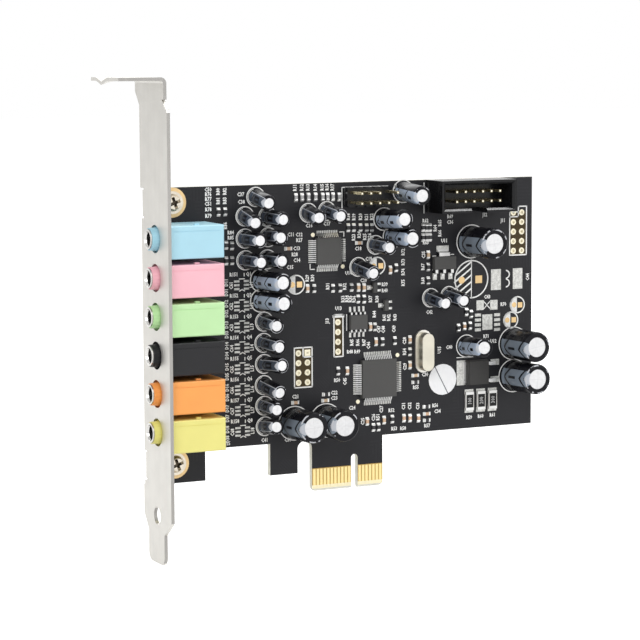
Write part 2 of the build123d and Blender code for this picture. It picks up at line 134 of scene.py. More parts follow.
class Graph:
    def __init__(self, tree):
        self.tree = tree

    def node(self, kind, settings, sockets, output=0):
        made = self.tree.nodes.new(kind)
        for key, value in settings.items():
            if key == "stops":
                for element, (place, level) in zip(made.color_ramp.elements, value):
                    element.position = place
                    element.color = (level, level, level, 1)
            else:
                setattr(made, key, value)
        for key, value in sockets.items():
            self.join(value, made.inputs[key])
        return Wire(self, made.outputs[output])

    def join(self, value, socket):
        if isinstance(value, Wire):
            self.tree.links.new(value.socket, socket)
        else:
            socket.default_value = value

    def seen(self):
        # 1 for the rays that show the background: seen, mirrored or through glass
        rays = self.node("ShaderNodeLightPath", {}, {}).socket.node.outputs
        names = ("Is Camera Ray", "Is Glossy Ray", "Is Transmission Ray")
        camera, glossy, through = [Wire(self, rays[name]) for name in names]
        return camera | glossy | through


class Finish(Graph):
    def __init__(self, name, constants):
        self.material = bpy.data.materials.new(name)
        self.material.use_nodes = True
        super().__init__(self.material.node_tree)
        self.shader = self.tree.nodes["Principled BSDF"]
        for socket, value in constants.items():
            self.shader.inputs[socket].default_value = value

    def feed(self, socket, value):
        self.join(value, self.shader.inputs[socket])

    def place(self, stretch=(1, 1, 1)):
        spot = self.node("ShaderNodeTexCoord", {}, {}, "Object")
        return self.node("ShaderNodeMapping", {}, {"Vector": spot, "Scale": stretch})

    def axes(self, vector):
        parted = self.node("ShaderNodeSeparateXYZ", {}, {"Vector": vector}).socket.node
        return Axes(*[Wire(self, socket) for socket in parted.outputs])

    def spot(self):
        # where the surface is
        return self.axes(self.place())

    def facing(self):
        # which way the surface points
        return self.axes(self.node("ShaderNodeNewGeometry", {}, {}, "Normal"))

    def wrap(self):
        # the piece's own map, which wrapSleeve and wrapEnd lay
        return self.axes(self.node("ShaderNodeUVMap", {"uv_map": "wrap"}, {}))

    def noise(self, scale, detail=2.0, stretch=(1, 1, 1)):
        return self.node(
            "ShaderNodeTexNoise", {}, {"Vector": self.place(stretch), "Scale": scale, "Detail": detail})

    def ramp(self, value, low, high):
        return self.node("ShaderNodeValToRGB", {"stops": [(low, 0), (high, 1)]}, {"Fac": value})

    def mix(self, factor, first, second):
        # 6 and 7 are the colour inputs, and 2 the colour output
        first, second = [c + (1,) if isinstance(c, tuple) else c for c in (first, second)]
        return self.node("ShaderNodeMix", {"data_type": "RGBA"}, {0: factor, 6: first, 7: second}, 2)

    def vary(self, pattern, colour, shades):
        # one colour, from its first shade to its second as the pattern rises
        return self.mix(pattern, *[shade(colour, factor) for factor in shades])

    def surface(self, look, colour, grain, mask=None, height=None):
        # roughness is a base, how far the grain swings it and, for a mask, what that adds
        base, swing, *more = look["roughness"]
        strength, depth = look["bump"]
        rough = base + swing * grain
        if more:
            rough = rough + more[0] * mask
        relief = {"Strength": strength, "Distance": depth * mm, "Height": height or grain}
        self.feed("Base Color", colour)
        self.feed("Roughness", rough)
        self.feed("Normal", self.node("ShaderNodeBump", {}, relief))
        return self.material


def shade(colour, factor):
    return tuple(min(1, c * factor) for c in colour)


def fromNearest(wire, first, pitch):
    # how far the wire is from the nearest of a row of places
    return abs((wire - first + pitch / 2) % pitch - pitch / 2)


def skin(look, roughness, depth):
    # roughness and relief of a plain finish, as surface reads them
    return {"roughness": (roughness - look["swing"] / 2, look["swing"]), "bump": (look["bump"], depth)}


# Mouldings: faint flow marks and fine pits, and on a jack a deeper painted shade of its colour outside the
# bracket

plasticLook = {
    "flowGrain": 140, "flowShades": (0.93, 1.06), "swing": 0.12, "bump": 0.35,
    "collarShadePower": 1.15, "collarShadeFactor": 0.95,
}


def mouldedPlastic(name, colour, roughness=0.42, grain=1500, depth=0.02, specular=0.5, collarX=None):
    look = plasticLook
    finish = Finish(name, {"Specular IOR Level": specular})
    pits = finish.noise(grain)
    body = finish.vary(finish.noise(look["flowGrain"], 3), colour, look["flowShades"])
    # outside the bracket the same plastic gets a deeper painted shade
    if collarX is not None:
        collarShade = tuple(c ** look["collarShadePower"] * look["collarShadeFactor"] for c in colour)
        body = finish.mix(finish.spot().x < collarX * mm, body, collarShade)
    return finish.surface(skin(look, roughness, depth), body, pits)


# Plated and tinned metal: drawn streaks, and blotches where it has dulled

metalLook = {"blotchGrain": 180, "blotchEdge": (0.35, 0.7), "swing": 0.16, "bump": 0.3}


def blotches(finish):
    return finish.ramp(finish.noise(metalLook["blotchGrain"], 4), *metalLook["blotchEdge"])


def platedMetal(name, colour, roughness, stretch=(1, 1, 1), tarnish=0.86, grain=900, depth=0.01, metal=1.0):
    look = metalLook
    finish = Finish(name, {"Metallic": metal})
    streaks = finish.noise(grain, 3, stretch)
    tone = finish.vary(blotches(finish), colour, (tarnish, 1))
    return finish.surface(skin(look, roughness, depth), tone, streaks)


# The board: satin black mask on both faces, with the copper under it showing faintly, and pale glass edges

boardLook = {
    "mask": (0.0125, 0.0125, 0.0148), "copper": (0.030, 0.030, 0.033), "hazeShade": 1.5, "hazeShare": 0.5,
    "glass": (0.84, 0.83, 0.74), "glassShades": (0.8, 1.1), "laminate": (0.52, 0.34, 0.10),
    "bevel": (1.0, 0.91, 0.62), "bareField": (0.058, 0.038, 0.010), "bareShare": 0.85,
    "maskDepth": 0.79, "clothGrain": 900, "hazeGrain": 28,
    "roughness": (0.36, 0.12, 0.25), "bump": (0.25, 0.02), "copperHigh": 0.5, "clothHigh": 0.25,
    "areaScale": 210, "uprightBelow": 0.35, "slantedAbove": 0.75, "bareBelow": 0.72, "rearMore": 0.4,
    "trackPitch": 0.9, "trackEdge": (0.18, 0.3), "frontTracks": 0.2,
    "viaScale": 260, "viaRadius": 0.34, "viaBore": 0.14,
    "tongue": (-12.4, 8.4, -1.0, 5.9), "bevelTop": 1.5,
    "headerFields": [(-17.0, -11.9, 27.1, 37.5), (-5.75, -3.1, 34.5, 45.4), (46.0, 51.2, 58.7, 70.2)],
}


def boardFinish(look):
    finish = Finish("solderMask", {"Specular IOR Level": 0.22})
    x, y, z = finish.spot()

    def within(left, right, low, high):
        return (x > left * mm) * (x < right * mm) * (z > low * mm) * (z < high * mm)

    def cells(scale, output, shape):
        flat = finish.place((1, 0, 1))
        return finish.node(
            "ShaderNodeTexVoronoi", {"distance": shape}, {"Vector": flat, "Scale": scale}, output)

    face = abs(y) > look["maskDepth"] * mm
    rear = y > 0
    cloth = finish.noise(look["clothGrain"])

    # tracks run level, upright or slanted, an area at a time, and some areas have none
    area = finish.axes(cells(look["areaScale"], "Color", "CHEBYCHEV"))
    course = z + (area.y < look["uprightBelow"]) * (x - z) + (area.y > look["slantedAbove"]) * x
    tracked = area.x > look["bareBelow"] - look["rearMore"] * rear
    runs = abs(course / (look["trackPitch"] * mm) % 1 - 0.5) * tracked
    copper = finish.ramp(runs, *look["trackEdge"])
    away = cells(look["viaScale"], "Distance", "EUCLIDEAN") / (look["viaScale"] * mm)
    via = rear * (away < look["viaRadius"]) * (away > look["viaBore"])
    clear = look["frontTracks"] + (1 - look["frontTracks"]) * rear

    mask = finish.mix((copper | via) * clear, look["mask"], look["copper"])
    haze = finish.noise(look["hazeGrain"]) * look["hazeShare"]
    mask = finish.mix(haze, mask, shade(look["mask"], look["hazeShade"]))
    first, second, third = [within(*field) for field in look["headerFields"]]
    mask = finish.mix((first | second | third) * look["bareShare"], mask, look["bareField"])
    tongue = finish.mix(z < look["bevelTop"] * mm, look["laminate"], look["bevel"])
    mask = finish.mix(within(*look["tongue"]), mask, tongue)
    glass = finish.vary(cloth, look["glass"], look["glassShades"])
    relief = copper * look["copperHigh"] + cloth * look["clothHigh"]
    return finish.surface(look, finish.mix(face, glass, mask), cloth, 1 - face, relief)


# The bracket: zinc on rolled sheet, with painted shade on the sheared edges of the blade and the flange

bracketLook = {
    "zinc": (0.63, 0.615, 0.58), "zincShades": (0.93, 1),
    "edge": (0.35, 0.34, 0.325), "edgeShades": (0.85, 1.15),
    "bladeBack": -56.29, "edgeFacing": 0.7, "rollGrain": 700, "rollStretch": (1, 1, 0.05),
    "roughness": (0.38, 0.16, 0.1), "bump": (0.3, 0.01),
}


def bracketFinish(look):
    finish = Finish("bracketZinc", {"Metallic": 1.0})
    # the edges that face along Y get a greyer painted shade
    paintedEdgeShade = (abs(finish.facing().y) > look["edgeFacing"]) * (finish.spot().x < look["bladeBack"] * mm)
    rolled = finish.noise(look["rollGrain"], 3, look["rollStretch"])
    zinc = finish.vary(blotches(finish), look["zinc"], look["zincShades"])
    edge = finish.vary(rolled, look["edge"], look["edgeShades"])
    return finish.surface(look, finish.mix(paintedEdgeShade, zinc, edge), rolled, paintedEdgeShade)


# Power resistors: white ceramic blocks with a black glazed top, tinned at both ends

resistorLook = {
    "glaze": (0.009, 0.009, 0.010), "glazeShades": (0.8, 1.3), "ceramic": (0.74, 0.73, 0.70),
    "ceramicShades": (0.9, 1.05), "at": (37.35, 20.45), "pitch": 3.5, "count": 3, "glazeHalf": 1.02,
    "topFacing": -0.7, "grain": 900, "roughness": (0.6, 0.1, -0.3), "bump": (0.3, 0.02),
}


def resistorFinish(look):
    finish = Finish("resistorGlaze", {"Specular IOR Level": 0.2})
    across = fromNearest(finish.spot().x / mm, look["at"][0], look["pitch"])
    glazed = (finish.facing().y < look["topFacing"]) * (across < look["glazeHalf"])
    grain = finish.noise(look["grain"], 3)
    black = finish.vary(grain, look["glaze"], look["glazeShades"])
    white = finish.vary(grain, look["ceramic"], look["ceramicShades"])
    return finish.surface(look, finish.mix(glazed, white, black), grain, glazed)


# Gold contacts stop above the bevel at the tongue's end

contactLook = {
    "gold": (0.93, 0.74, 0.34), "shades": (0.88, 1), "metal": 0.7, "grain": 900, "stretch": (1, 1, 0.08),
    "roughness": (0.26, 0.14, 0.2), "bump": (0.3, 0.01),
}


def contactFinish(look, board):
    finish = Finish("goldPlate", {"Specular IOR Level": 0.4})
    bevel = finish.spot().z < board["bevelTop"] * mm
    drawn = finish.noise(look["grain"], 3, look["stretch"])
    plate = finish.vary(drawn, look["gold"], look["shades"])
    finish.feed("Metallic", look["metal"] * (1 - bevel))
    return finish.surface(look, finish.mix(bevel, plate, board["bevel"]), drawn, bevel)


# Screws: warm nickel, with painted shade in the cross recess and a painted shade ring round it

screwLook = {
    "nickel": (0.68, 0.62, 0.52), "shades": (0.72, 1.15), "paintedRecessShade": (0.10, 0.08, 0.06),
    "x": -50.0, "zs": (75.65, 10.15), "recessRadius": 1.25, "faceDepth": 0.06,
    "groove": (1.75, 2.2), "grooveShade": 0.55, "grain": 420,
    "roughness": (0.26, 0.14, 0.2), "bump": (0.3, 0.02),
}


def screwFinish(look):
    finish = Finish("screwNickel", {"Metallic": 1.0})
    x, y, z = finish.spot()
    across = x - look["x"] * mm
    upper, lower = [abs(z - height * mm) for height in look["zs"]]
    along = upper.least(lower)
    away = (across * across + along * along).root() / mm
    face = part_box("bracket_screws")[0].y
    recess = (away < look["recessRadius"]) * (y > face + look["faceDepth"] * mm) * (y < frontY)
    # a darker ring painted round the recess stands in for shade in the domed head's reflection
    inner, outer = look["groove"]
    groove = (away > inner) * (away < outer)
    wear = finish.noise(look["grain"], 4)
    nickel = finish.vary(wear, look["nickel"], look["shades"])
    nickel = finish.mix(groove * wear, nickel, shade(look["nickel"], look["grooveShade"]))
    # the cross recess is painted a dark brown shade where it lies in shadow
    return finish.surface(look, finish.mix(recess, nickel, look["paintedRecessShade"]), wear, recess)


# Header pins: thin gold, with a painted highlight in the middle of the sheared end and painted shade round
# it

pinLook = {
    "gold": (0.86, 0.75, 0.47), "shades": (0.85, 1), "bright": (0.95, 0.91, 0.78), "paintedRimShadeFactor": 0.3,
    "highlightHalf": 0.17, "endFacing": -0.9, "grain": 900, "roughness": (0.2, 0.16), "bump": (0.3, 0.01),
    "header_pins": (33.27, 73.93), "pin_strip_pins": (3.4, 74.33),  # one pin of each, x and z
}


def pinFinish(look, node):
    finish = Finish(node, {"Metallic": 1.0})
    spot = finish.spot()
    pinX, pinZ = look[node]
    across = fromNearest(spot.x / mm, pinX, pinPitch)
    along = fromNearest(spot.z / mm, pinZ, pinPitch)
    grain = finish.noise(look["grain"], 3)
    plate = finish.vary(grain, look["gold"], look["shades"])
    paintedRimShade = shade(look["gold"], look["paintedRimShadeFactor"])
    # the sheared end gets a painted highlight in its middle and painted shade round its rim
    end = finish.mix((across | along) > look["highlightHalf"], look["bright"], paintedRimShade)
    return finish.surface(look, finish.mix(finish.facing().y < look["endFacing"], plate, end), grain)


# Round sticker: white paper with one ruled line across it

stickerLook = {
    "papers": ((0.84, 0.84, 0.86), (0.97, 0.97, 0.97)), "line": (0.12, 0.12, 0.14), "lineWay": (0.88, 0.47),
    "lineShift": 0.4, "lineHalf": 0.13, "grain": 1300, "stretch": (1, 1, 0.4),
    "roughness": (0.6, 0.2), "bump": (0.2, 0.02),
}


def stickerFinish(look):
    finish = Finish("stickerPaper", {"Specular IOR Level": 0.25})
    spot = finish.spot()
    low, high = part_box("paper_sticker")
    centre = (low + high) / 2
    wayX, wayZ = look["lineWay"]
    off = (spot.x - centre.x) * wayX + (spot.z - centre.z) * wayZ + look["lineShift"] * mm
    fibre = finish.noise(look["grain"], 4, look["stretch"])
    paper = finish.mix(fibre, *look["papers"])
    return finish.surface(look, finish.mix(abs(off) < look["lineHalf"] * mm, paper, look["line"]), fibre)


# Which finish each CAD node gets

jackTints = {
    "blue": (0.42, 0.70, 0.82),
    "pink": (0.92, 0.50, 0.57),
    "green": (0.53, 0.81, 0.42),
    "black": (0.018, 0.018, 0.020),
    "orange": (0.94, 0.38, 0.09),
    "yellow": (0.83, 0.77, 0.24),
}
goldPlate = contactFinish(contactLook, boardLook)
padGold = platedMetal("padGold", (0.79, 0.56, 0.28), roughness=0.34, tarnish=0.82, metal=0.6)
eyeletTin = platedMetal("eyeletTin", (0.90, 0.84, 0.64), roughness=0.36, metal=0.5)
tinPlate = platedMetal("tinPlate", (0.68, 0.68, 0.67), roughness=0.36, tarnish=0.8)
chipTin = platedMetal("chipTin", (0.86, 0.86, 0.85), roughness=0.3, tarnish=0.8, metal=0.75)
solderTin = platedMetal(
    "solderTin", (0.70, 0.70, 0.68), roughness=0.32, tarnish=0.78, grain=1400, depth=0.04, metal=0.75)
chipEpoxy = mouldedPlastic(
    "chipEpoxy", (0.075, 0.074, 0.072), roughness=0.6, grain=1700, depth=0.03, specular=0.3)
regulatorEpoxy = mouldedPlastic(
    "regulatorEpoxy", (0.042, 0.041, 0.040), roughness=0.55, grain=1700, depth=0.03, specular=0.25)
headerPlastic = mouldedPlastic(
    "headerPlastic", (0.007, 0.007, 0.008), roughness=0.22, grain=1200, depth=0.01, specular=0.24)
chipGlaze = mouldedPlastic("chipGlaze", (0.03, 0.03, 0.032), roughness=0.35, grain=900, specular=0.4)
paleGlaze = mouldedPlastic("paleGlaze", (0.42, 0.42, 0.42), roughness=0.4, grain=900, specular=0.4)
bushNickel = platedMetal("bushNickel", (0.62, 0.61, 0.59), roughness=0.2, stretch=(0.2, 1, 1))
springBronze = platedMetal("springBronze", (0.80, 0.66, 0.42), roughness=0.3)
nodeFinishes = {
    "circuit_board": boardFinish(boardLook),
    "edge_contacts_front": goldPlate,
    "edge_contacts_back": goldPlate,
    "bracket": bracketFinish(bracketLook),
    "bracket_screws": screwFinish(screwLook),
    "crystal_base": platedMetal("crystalRim", (0.74, 0.72, 0.67), roughness=0.34, tarnish=0.8, grain=1500),
    "crystal_can": platedMetal("crystalSteel", (0.61, 0.58, 0.49), roughness=0.38, tarnish=0.84, grain=1500),
    "power_resistors": resistorFinish(resistorLook),
    "power_regulator_body": regulatorEpoxy,
    "power_regulator_leads": chipTin,
    "paper_sticker": stickerFinish(stickerLook),
}
for colour, tint in jackTints.items():
    gloss = 0.25 if colour == "black" else 0.5
    nodeFinishes[colour + "_jack_housing"] = mouldedPlastic(
        colour + "Plastic", tint, specular=gloss, collarX=bracketLook["bladeBack"])
    nodeFinishes[colour + "_jack_bush"] = bushNickel
    nodeFinishes[colour + "_jack_springs"] = springBronze
for name in nodes:
    if name in nodeFinishes:
        continue
    if name.endswith(("_chip", "_body")):
        nodeFinishes[name] = chipEpoxy
    elif name.endswith(("_leads", "_ends")):
        nodeFinishes[name] = tinPlate
    elif name.endswith("_pins"):
        nodeFinishes[name] = pinFinish(pinLook, name)
    elif name in ("header_shroud", "pin_strip_base"):
        nodeFinishes[name] = headerPlastic
for name, material in nodeFinishes.items():
    nodes[name].data.materials.clear()
    nodes[name].data.materials.append(material)
print("finishes on", len(nodeFinishes), "nodes")


# Modelling helpers

mergeGap = 0.0005  # corners closer than this are one
squareOn = 0.9  # a face with this much of its normal along an axis is square to it


def pickOnly(*objs):
    bpy.ops.object.select_all(action="DESELECT")
    for obj in objs:
        obj.select_set(True)
        bpy.context.view_layer.objects.active = obj


def pickFaces(rule):
    # leaves edit mode on, with the faces selected whose centre and normal meet the rule
    bpy.ops.object.mode_set(mode="EDIT")
    bpy.ops.mesh.select_mode(type="FACE")
    bpy.ops.mesh.select_all(action="DESELECT")
    bpy.ops.object.mode_set(mode="OBJECT")
    for face in bpy.context.object.data.polygons:
        face.select = bool(rule(face.center, face.normal))
    bpy.ops.object.mode_set(mode="EDIT")


def tidyMesh():
    bpy.ops.object.mode_set(mode="EDIT")
    bpy.ops.mesh.select_all(action="SELECT")
    bpy.ops.mesh.remove_doubles(threshold=mergeGap * mm)
    bpy.ops.mesh.normals_make_consistent(inside=False)
    bpy.ops.object.mode_set(mode="OBJECT")
    return bpy.context.object


def rise(height, along=0):
    bpy.ops.mesh.extrude_region_move(TRANSFORM_OT_translate={"value": (along * mm, 0, height * mm)})


def addCircle(radius, sides, fill="NGON"):
    # leaves edit mode on, with the circle selected
    pickOnly()
    bpy.ops.mesh.primitive_circle_add(vertices=sides, radius=radius * mm, fill_type=fill)
    bpy.ops.object.mode_set(mode="EDIT")
    bpy.ops.mesh.select_all(action="SELECT")


def turned(profile, sides, solid=True):
    # a disc, or a bare circle, extruded ring by ring through (radius, height) pairs
    radius, height = profile[0]
    addCircle(radius, sides, "NGON" if solid else "NOTHING")
    extrude = bpy.ops.mesh.extrude_region_move if solid else bpy.ops.mesh.extrude_edges_move
    bpy.ops.transform.translate(value=(0, 0, height * mm))
    for nextRadius, nextHeight in profile[1:]:
        extrude(TRANSFORM_OT_translate={"value": (0, 0, (nextHeight - height) * mm)})
        grow = nextRadius / radius
        bpy.ops.transform.resize(value=(grow, grow, 1), center_override=(0, 0, nextHeight * mm))
        radius, height = nextRadius, nextHeight
    return tidyMesh()


def flatRing(outer, inner, thickness, sides, keep=None):
    # a ring, or the part of it whose faces keep says yes to
    addCircle(outer, sides)
    bpy.ops.mesh.inset(thickness=(outer - inner) * mm)
    bpy.ops.mesh.delete(type="FACE")
    if keep:
        pickFaces(lambda centre, normal: not keep(centre / mm))
        bpy.ops.mesh.delete(type="FACE")
    bpy.ops.mesh.select_all(action="SELECT")
    rise(thickness)
    return tidyMesh()


def slab(length, width, height, edge=0.0, crown=1.0):
    # a plate raised to its height, its top drawn in, its upper edges eased
    pickOnly()
    bpy.ops.mesh.primitive_plane_add(size=1)
    bpy.ops.object.mode_set(mode="EDIT")
    bpy.ops.mesh.select_all(action="SELECT")
    bpy.ops.transform.resize(value=(length * mm, width * mm, 1), center_override=(0, 0, 0))
    rise(height)
    bpy.ops.transform.resize(value=(crown, crown, 1), center_override=(0, 0, height * mm))
    if edge:
        bpy.ops.mesh.bevel(offset=edge * mm, segments=1, affect="EDGES")
    return tidyMesh()


def evenly(count, pitch):
    # places in a row, centred on nought
    return [(i - (count - 1) / 2) * pitch for i in range(count)]


def shift(x):
    return Matrix.Translation((x * mm, 0, 0))


def spin(degrees, axis="Z"):
    return Matrix.Rotation(math.radians(degrees), 4, axis)


def onFront(x, z, turn=0, lift=0.0, scale=(1, 1, 1)):
    spot = Matrix.Translation((x * mm, frontY - lift * mm, z * mm))
    return spot @ spin(90, "X") @ spin(turn) @ Matrix.Diagonal((*scale, 1))


def onBack(x, z):
    return Matrix.Translation((x * mm, backY, z * mm)) @ spin(-90, "X")


def spread(master, places):
    # one copy with its own mesh at each place, and the master gone
    copies = []
    for place in places:
        copy = master.copy()
        copy.data = master.data.copy()
        copy.matrix_world = place
        scene.collection.objects.link(copy)
        copies.append(copy)
    bpy.data.objects.remove(master)
    return copies


def fuse(name, copies, material, replaced=()):
    # copies joined as one piece that rides on the card
    pickOnly(*copies)
    bpy.ops.object.join()
    piece = bpy.context.object
    bpy.ops.object.transform_apply(location=True, rotation=True, scale=True)
    piece.name = name
    piece.data.name = name
    piece.data.materials.clear()
    piece.data.materials.append(material)
    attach(piece, "root")
    if replaced:
        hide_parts(*replaced)
    print(name, len(piece.data.polygons), "faces")


# Electrolytic capacitors: printed sleeve over a can, with the can's end bare

canPlan = {
    "small": {
        "radius": 2.0, "height": 8.5, "ring": 2.55, "innerRing": 0.4, "pins": 1.0, "turn": -8,
        "endTone": 0.78, "stripe": (0.062, 0.075, 0.10), "stripeHalf": 0.115, "edgeLine": 0.007,
        "paleEnd": 0.7, "step": 8.5, "chevronAt": 1.9, "chevronLine": 0.6,
        "markAt": 4.9, "markLength": 2.8, "markHalf": 0.066, "coreShare": 0.3,
        "places": [  # x, z and the lean along each
            (-27.4, 76.4, -1, -8), (-30.4, 71.6, -6, -8), (-24.2, 71.3, 4, -2), (-30.4, 66.0, 3, 0),
            (-24.0, 66.1, -2, 3), (-30.3, 60.5, 4, 0), (-24.3, 60.5, 2, 1), (-25.3, 44.7, -2, -2),
            (-25.5, 39.3, 4, -2), (-25.4, 33.9, 8, 3), (-25.5, 28.5, 4, -7), (-25.4, 23.2, -2, 0),
            (-25.3, 17.9, -4, 7), (-12.8, 71.9, -7, -5), (-7.6, 72.2, -1, -6), (6.3, 63.0, -1, -1),
            (1.3, 57.5, 1, -7), (22.4, 48.5, -1, -5), (27.8, 48.8, -1, -4)],
    },
    "medium": {
        "radius": 2.5, "height": 11.4, "ring": 3.05, "innerRing": 0, "pins": 1.27, "turn": 12,
        "endTone": 0.74, "stripe": (0.38, 0.45, 0.56), "stripeHalf": 0.115, "edgeLine": 0,
        "paleEnd": 0.5, "step": 5.2, "chevronAt": 0.6, "chevronLine": 0.5,
        "markAt": 3.4, "markLength": 1.8, "markHalf": 0.026, "coreShare": 0,
        "places": [
            (-26.1, 55.3, 5, 1), (-26.1, 50.1, 6, 1), (14.3, 76.6, -2, -3), (8.7, 69.6, 1, 3),
            (11.4, 65.0, -1, 1), (33.0, 35.2, -5, 4)],
    },
    "large": {
        "radius": 4.0, "height": 12.0, "ring": 4.5, "innerRing": 0, "pins": 1.75, "turn": 4,
        "endTone": 0.68, "stripe": (0.20, 0.235, 0.28), "stripeHalf": 0.09, "edgeLine": 0,
        "paleEnd": 0.6, "step": 7.4, "chevronAt": 1.4, "chevronLine": 0.85,
        "markAt": 5.4, "markLength": 3.2, "markHalf": 0.014, "coreShare": 0,
        "places": [
            (-17.1, 18.1, 0, 2), (-8.2, 18.2, -1, 1), (34.5, 62.8, 1, 1), (47.3, 35.1, 1, 1),
            (47.3, 26.4, 2, 2)],
    },
}
# what the sizes share; outline points are how far in from the radius or lip, and how far up or down
canShape = {
    "seat": 0.02, "sides": 40, "smoothAngle": 50, "sway": 9, "swayStep": 17, "wrapUnit": 10,
    "lipShare": 0.65,
    "foot": [(0.3, 0.05), (0.1, 0), (0, 0.18), (0, 1.0), (0.16, 1.3), (0.16, 1.5), (0, 1.8)],
    "shoulder": [(0, 0.55), (0.1, 0.2), (0.32, 0.03), (0.55, 0)], "lip": [(0, 0.05), (0, 0.3)],
    "end": [(0.02, 0.32), (0.02, 0.1), (0.12, 0.06)], "endMiddle": (0.5, 0.04),
}
sleeveLook = {
    "blacks": ((0.005, 0.005, 0.007), (0.010, 0.010, 0.013)), "stripeShades": (0.8, 1.2), "stripeFoot": 0.25,
    "pale": (0.46, 0.48, 0.52), "edgeShare": 0.9, "coreLength": 0.6, "chevronSlope": 0.8,
    "fleck": (0.52, 0.53, 0.56), "fleckAbove": 0.54, "fleckFrom": 0.06, "fleckShare": 0.1, "fleckMore": 0.1,
    "mottleGrain": 260, "clothGrain": 1600, "clothHigh": 0.6, "fleckGrain": 480,
    "roughness": (0.22, 0.12, 0.08), "bump": (0.2, 0.02),
}
canEndLook = {
    "tint": (1, 1, 1.01), "shades": (0.82, 1.12), "score": (0.45, 0.45, 0.47), "scoreShare": 0.35,
    "scoreHalf": 0.012, "grain": 1500, "roughness": (0.34, 0.14), "bump": (0.4, 0.05),
}


def canPlace(can, index, place):
    x, z, leanX, leanZ = place
    axis = Vector((math.tan(math.radians(leanX)), math.tan(math.radians(leanZ)), 1)).normalized()
    seat = can["radius"] * math.sqrt(max(0, 1 - axis.z ** 2)) + canShape["seat"]
    lean = Vector((0, 0, 1)).rotation_difference(axis).to_matrix().to_4x4()
    sway = canShape["sway"] * math.sin(canShape["swayStep"] * index)
    return onFront(x, z, 0, seat) @ lean @ spin(can["turn"] + sway)


def wrapSleeve(obj, can):
    # u is the turn away from the stripe, v the way up the side and in over the shoulder, in centimetres
    layer = obj.data.uv_layers.new(name="wrap")
    for face in obj.data.polygons:
        middle = math.atan2(face.center.y, -face.center.x)
        for loop in face.loop_indices:
            spot = obj.data.vertices[obj.data.loops[loop].vertex_index].co / mm
            angle = math.atan2(spot.y, -spot.x)
            angle += 2 * math.pi * round((middle - angle) / (2 * math.pi))
            inward = can["radius"] - math.hypot(spot.x, spot.y) if spot.z > can["height"] / 2 else 0
            layer.data[loop].uv = (angle / (2 * math.pi), (spot.z + inward) / canShape["wrapUnit"])


def wrapEnd(obj, can):
    # u and v go straight across the end, in radii
    layer = obj.data.uv_layers.new(name="wrap")
    for loop, corner in enumerate(obj.data.loops):
        spot = obj.data.vertices[corner.vertex_index].co / (can["radius"] * mm)
        layer.data[loop].uv = (spot.x, spot.y)


def sleeveFinish(name, can, look):
    # a grey stripe up one side, with chevrons, a mark between each two, and a paler end over the shoulder
    finish = Finish(name, {"Specular IOR Level": 0.1, "Coat Weight": 0.08, "Coat Roughness": 0.06})
    wrap = finish.wrap()
    height = wrap.y * canShape["wrapUnit"]
    around = abs(wrap.x)
    half = can["markLength"] / 2
    slant = height - around * (2 * math.pi * can["radius"] * look["chevronSlope"])
    along = fromNearest(height, can["markAt"], can["step"])
    mark = (along < half) * (around < can["markHalf"])
    core = (along < half * look["coreLength"]) * (around < can["markHalf"] * can["coreShare"])
    chevron = (slant - can["chevronAt"]) % can["step"] < can["chevronLine"]
    stripe = (around < can["stripeHalf"]) * (height > look["stripeFoot"])
    ink = stripe * (1 - ((mark - core) | chevron))
    shoulder = stripe * (slant > can["height"] - can["paleEnd"])
    edge = stripe * (abs(around - look["edgeShare"] * can["stripeHalf"]) < can["edgeLine"])
    # pale flecks in a band above the rim: partly the sleeve's own pale overlap, partly a painted highlight
    # where the rim catches light
    rim = height - can["height"]
    band = (rim > look["fleckFrom"]) * (rim < look["fleckShare"] * can["radius"] + look["fleckMore"])
    fleck = band * (finish.noise(look["fleckGrain"], 3) > look["fleckAbove"])
    mottle = finish.noise(look["mottleGrain"], 3)
    cloth = finish.noise(look["clothGrain"])
    black = finish.mix(mottle, *look["blacks"])
    grey = finish.vary(mottle, can["stripe"], look["stripeShades"])
    tone = finish.mix(shoulder | edge, finish.mix(ink, black, grey), look["pale"])
    relief = cloth * look["clothHigh"] + mottle
    return finish.surface(look, finish.mix(fleck, tone, look["fleck"]), mottle, ink, relief)


def canEndFinish(name, can, look):
    # bare aluminium with a shallow cross scored into it
    finish = Finish(name, {"Metallic": 0.5})
    wrap = finish.wrap()
    score = (abs(wrap.x) < look["scoreHalf"]) | (abs(wrap.y) < look["scoreHalf"])
    grain = finish.noise(look["grain"], 3)
    metal = finish.vary(grain, shade(look["tint"], can["endTone"]), look["shades"])
    tone = finish.mix(score * look["scoreShare"], metal, look["score"])
    return finish.surface(look, tone, grain, height=1 - score)


for size, can in canPlan.items():
    radius, top = can["radius"], can["height"]
    lip = canShape["lipShare"] * radius
    share, sunk = canShape["endMiddle"]
    side = [(radius - inward, up) for inward, up in canShape["foot"]]
    side += [(radius - inward, top - down) for inward, down in canShape["shoulder"]]
    side += [(lip - inward, top - down) for inward, down in canShape["lip"]]
    sleeve = turned(side, canShape["sides"])
    wrapSleeve(sleeve, can)
    bpy.ops.object.shade_smooth_by_angle(angle=math.radians(canShape["smoothAngle"]))
    places = [canPlace(can, i, place) for i, place in enumerate(can["places"])]
    fuse(size + "Sleeves", spread(sleeve, places),
         sleeveFinish(size + "Sleeve", can, sleeveLook), [size + "_capacitors"])
    across = [(lip - inward, top - down) for inward, down in canShape["end"]]
    end = turned(across + [(lip * share, top - sunk)], canShape["sides"])
    wrapEnd(end, can)
    fuse(size + "CanEnds", spread(end, places), canEndFinish(size + "CanEnd", can, canEndLook))


# Small chips: ceramic bodies with tinned ends on solder fillets

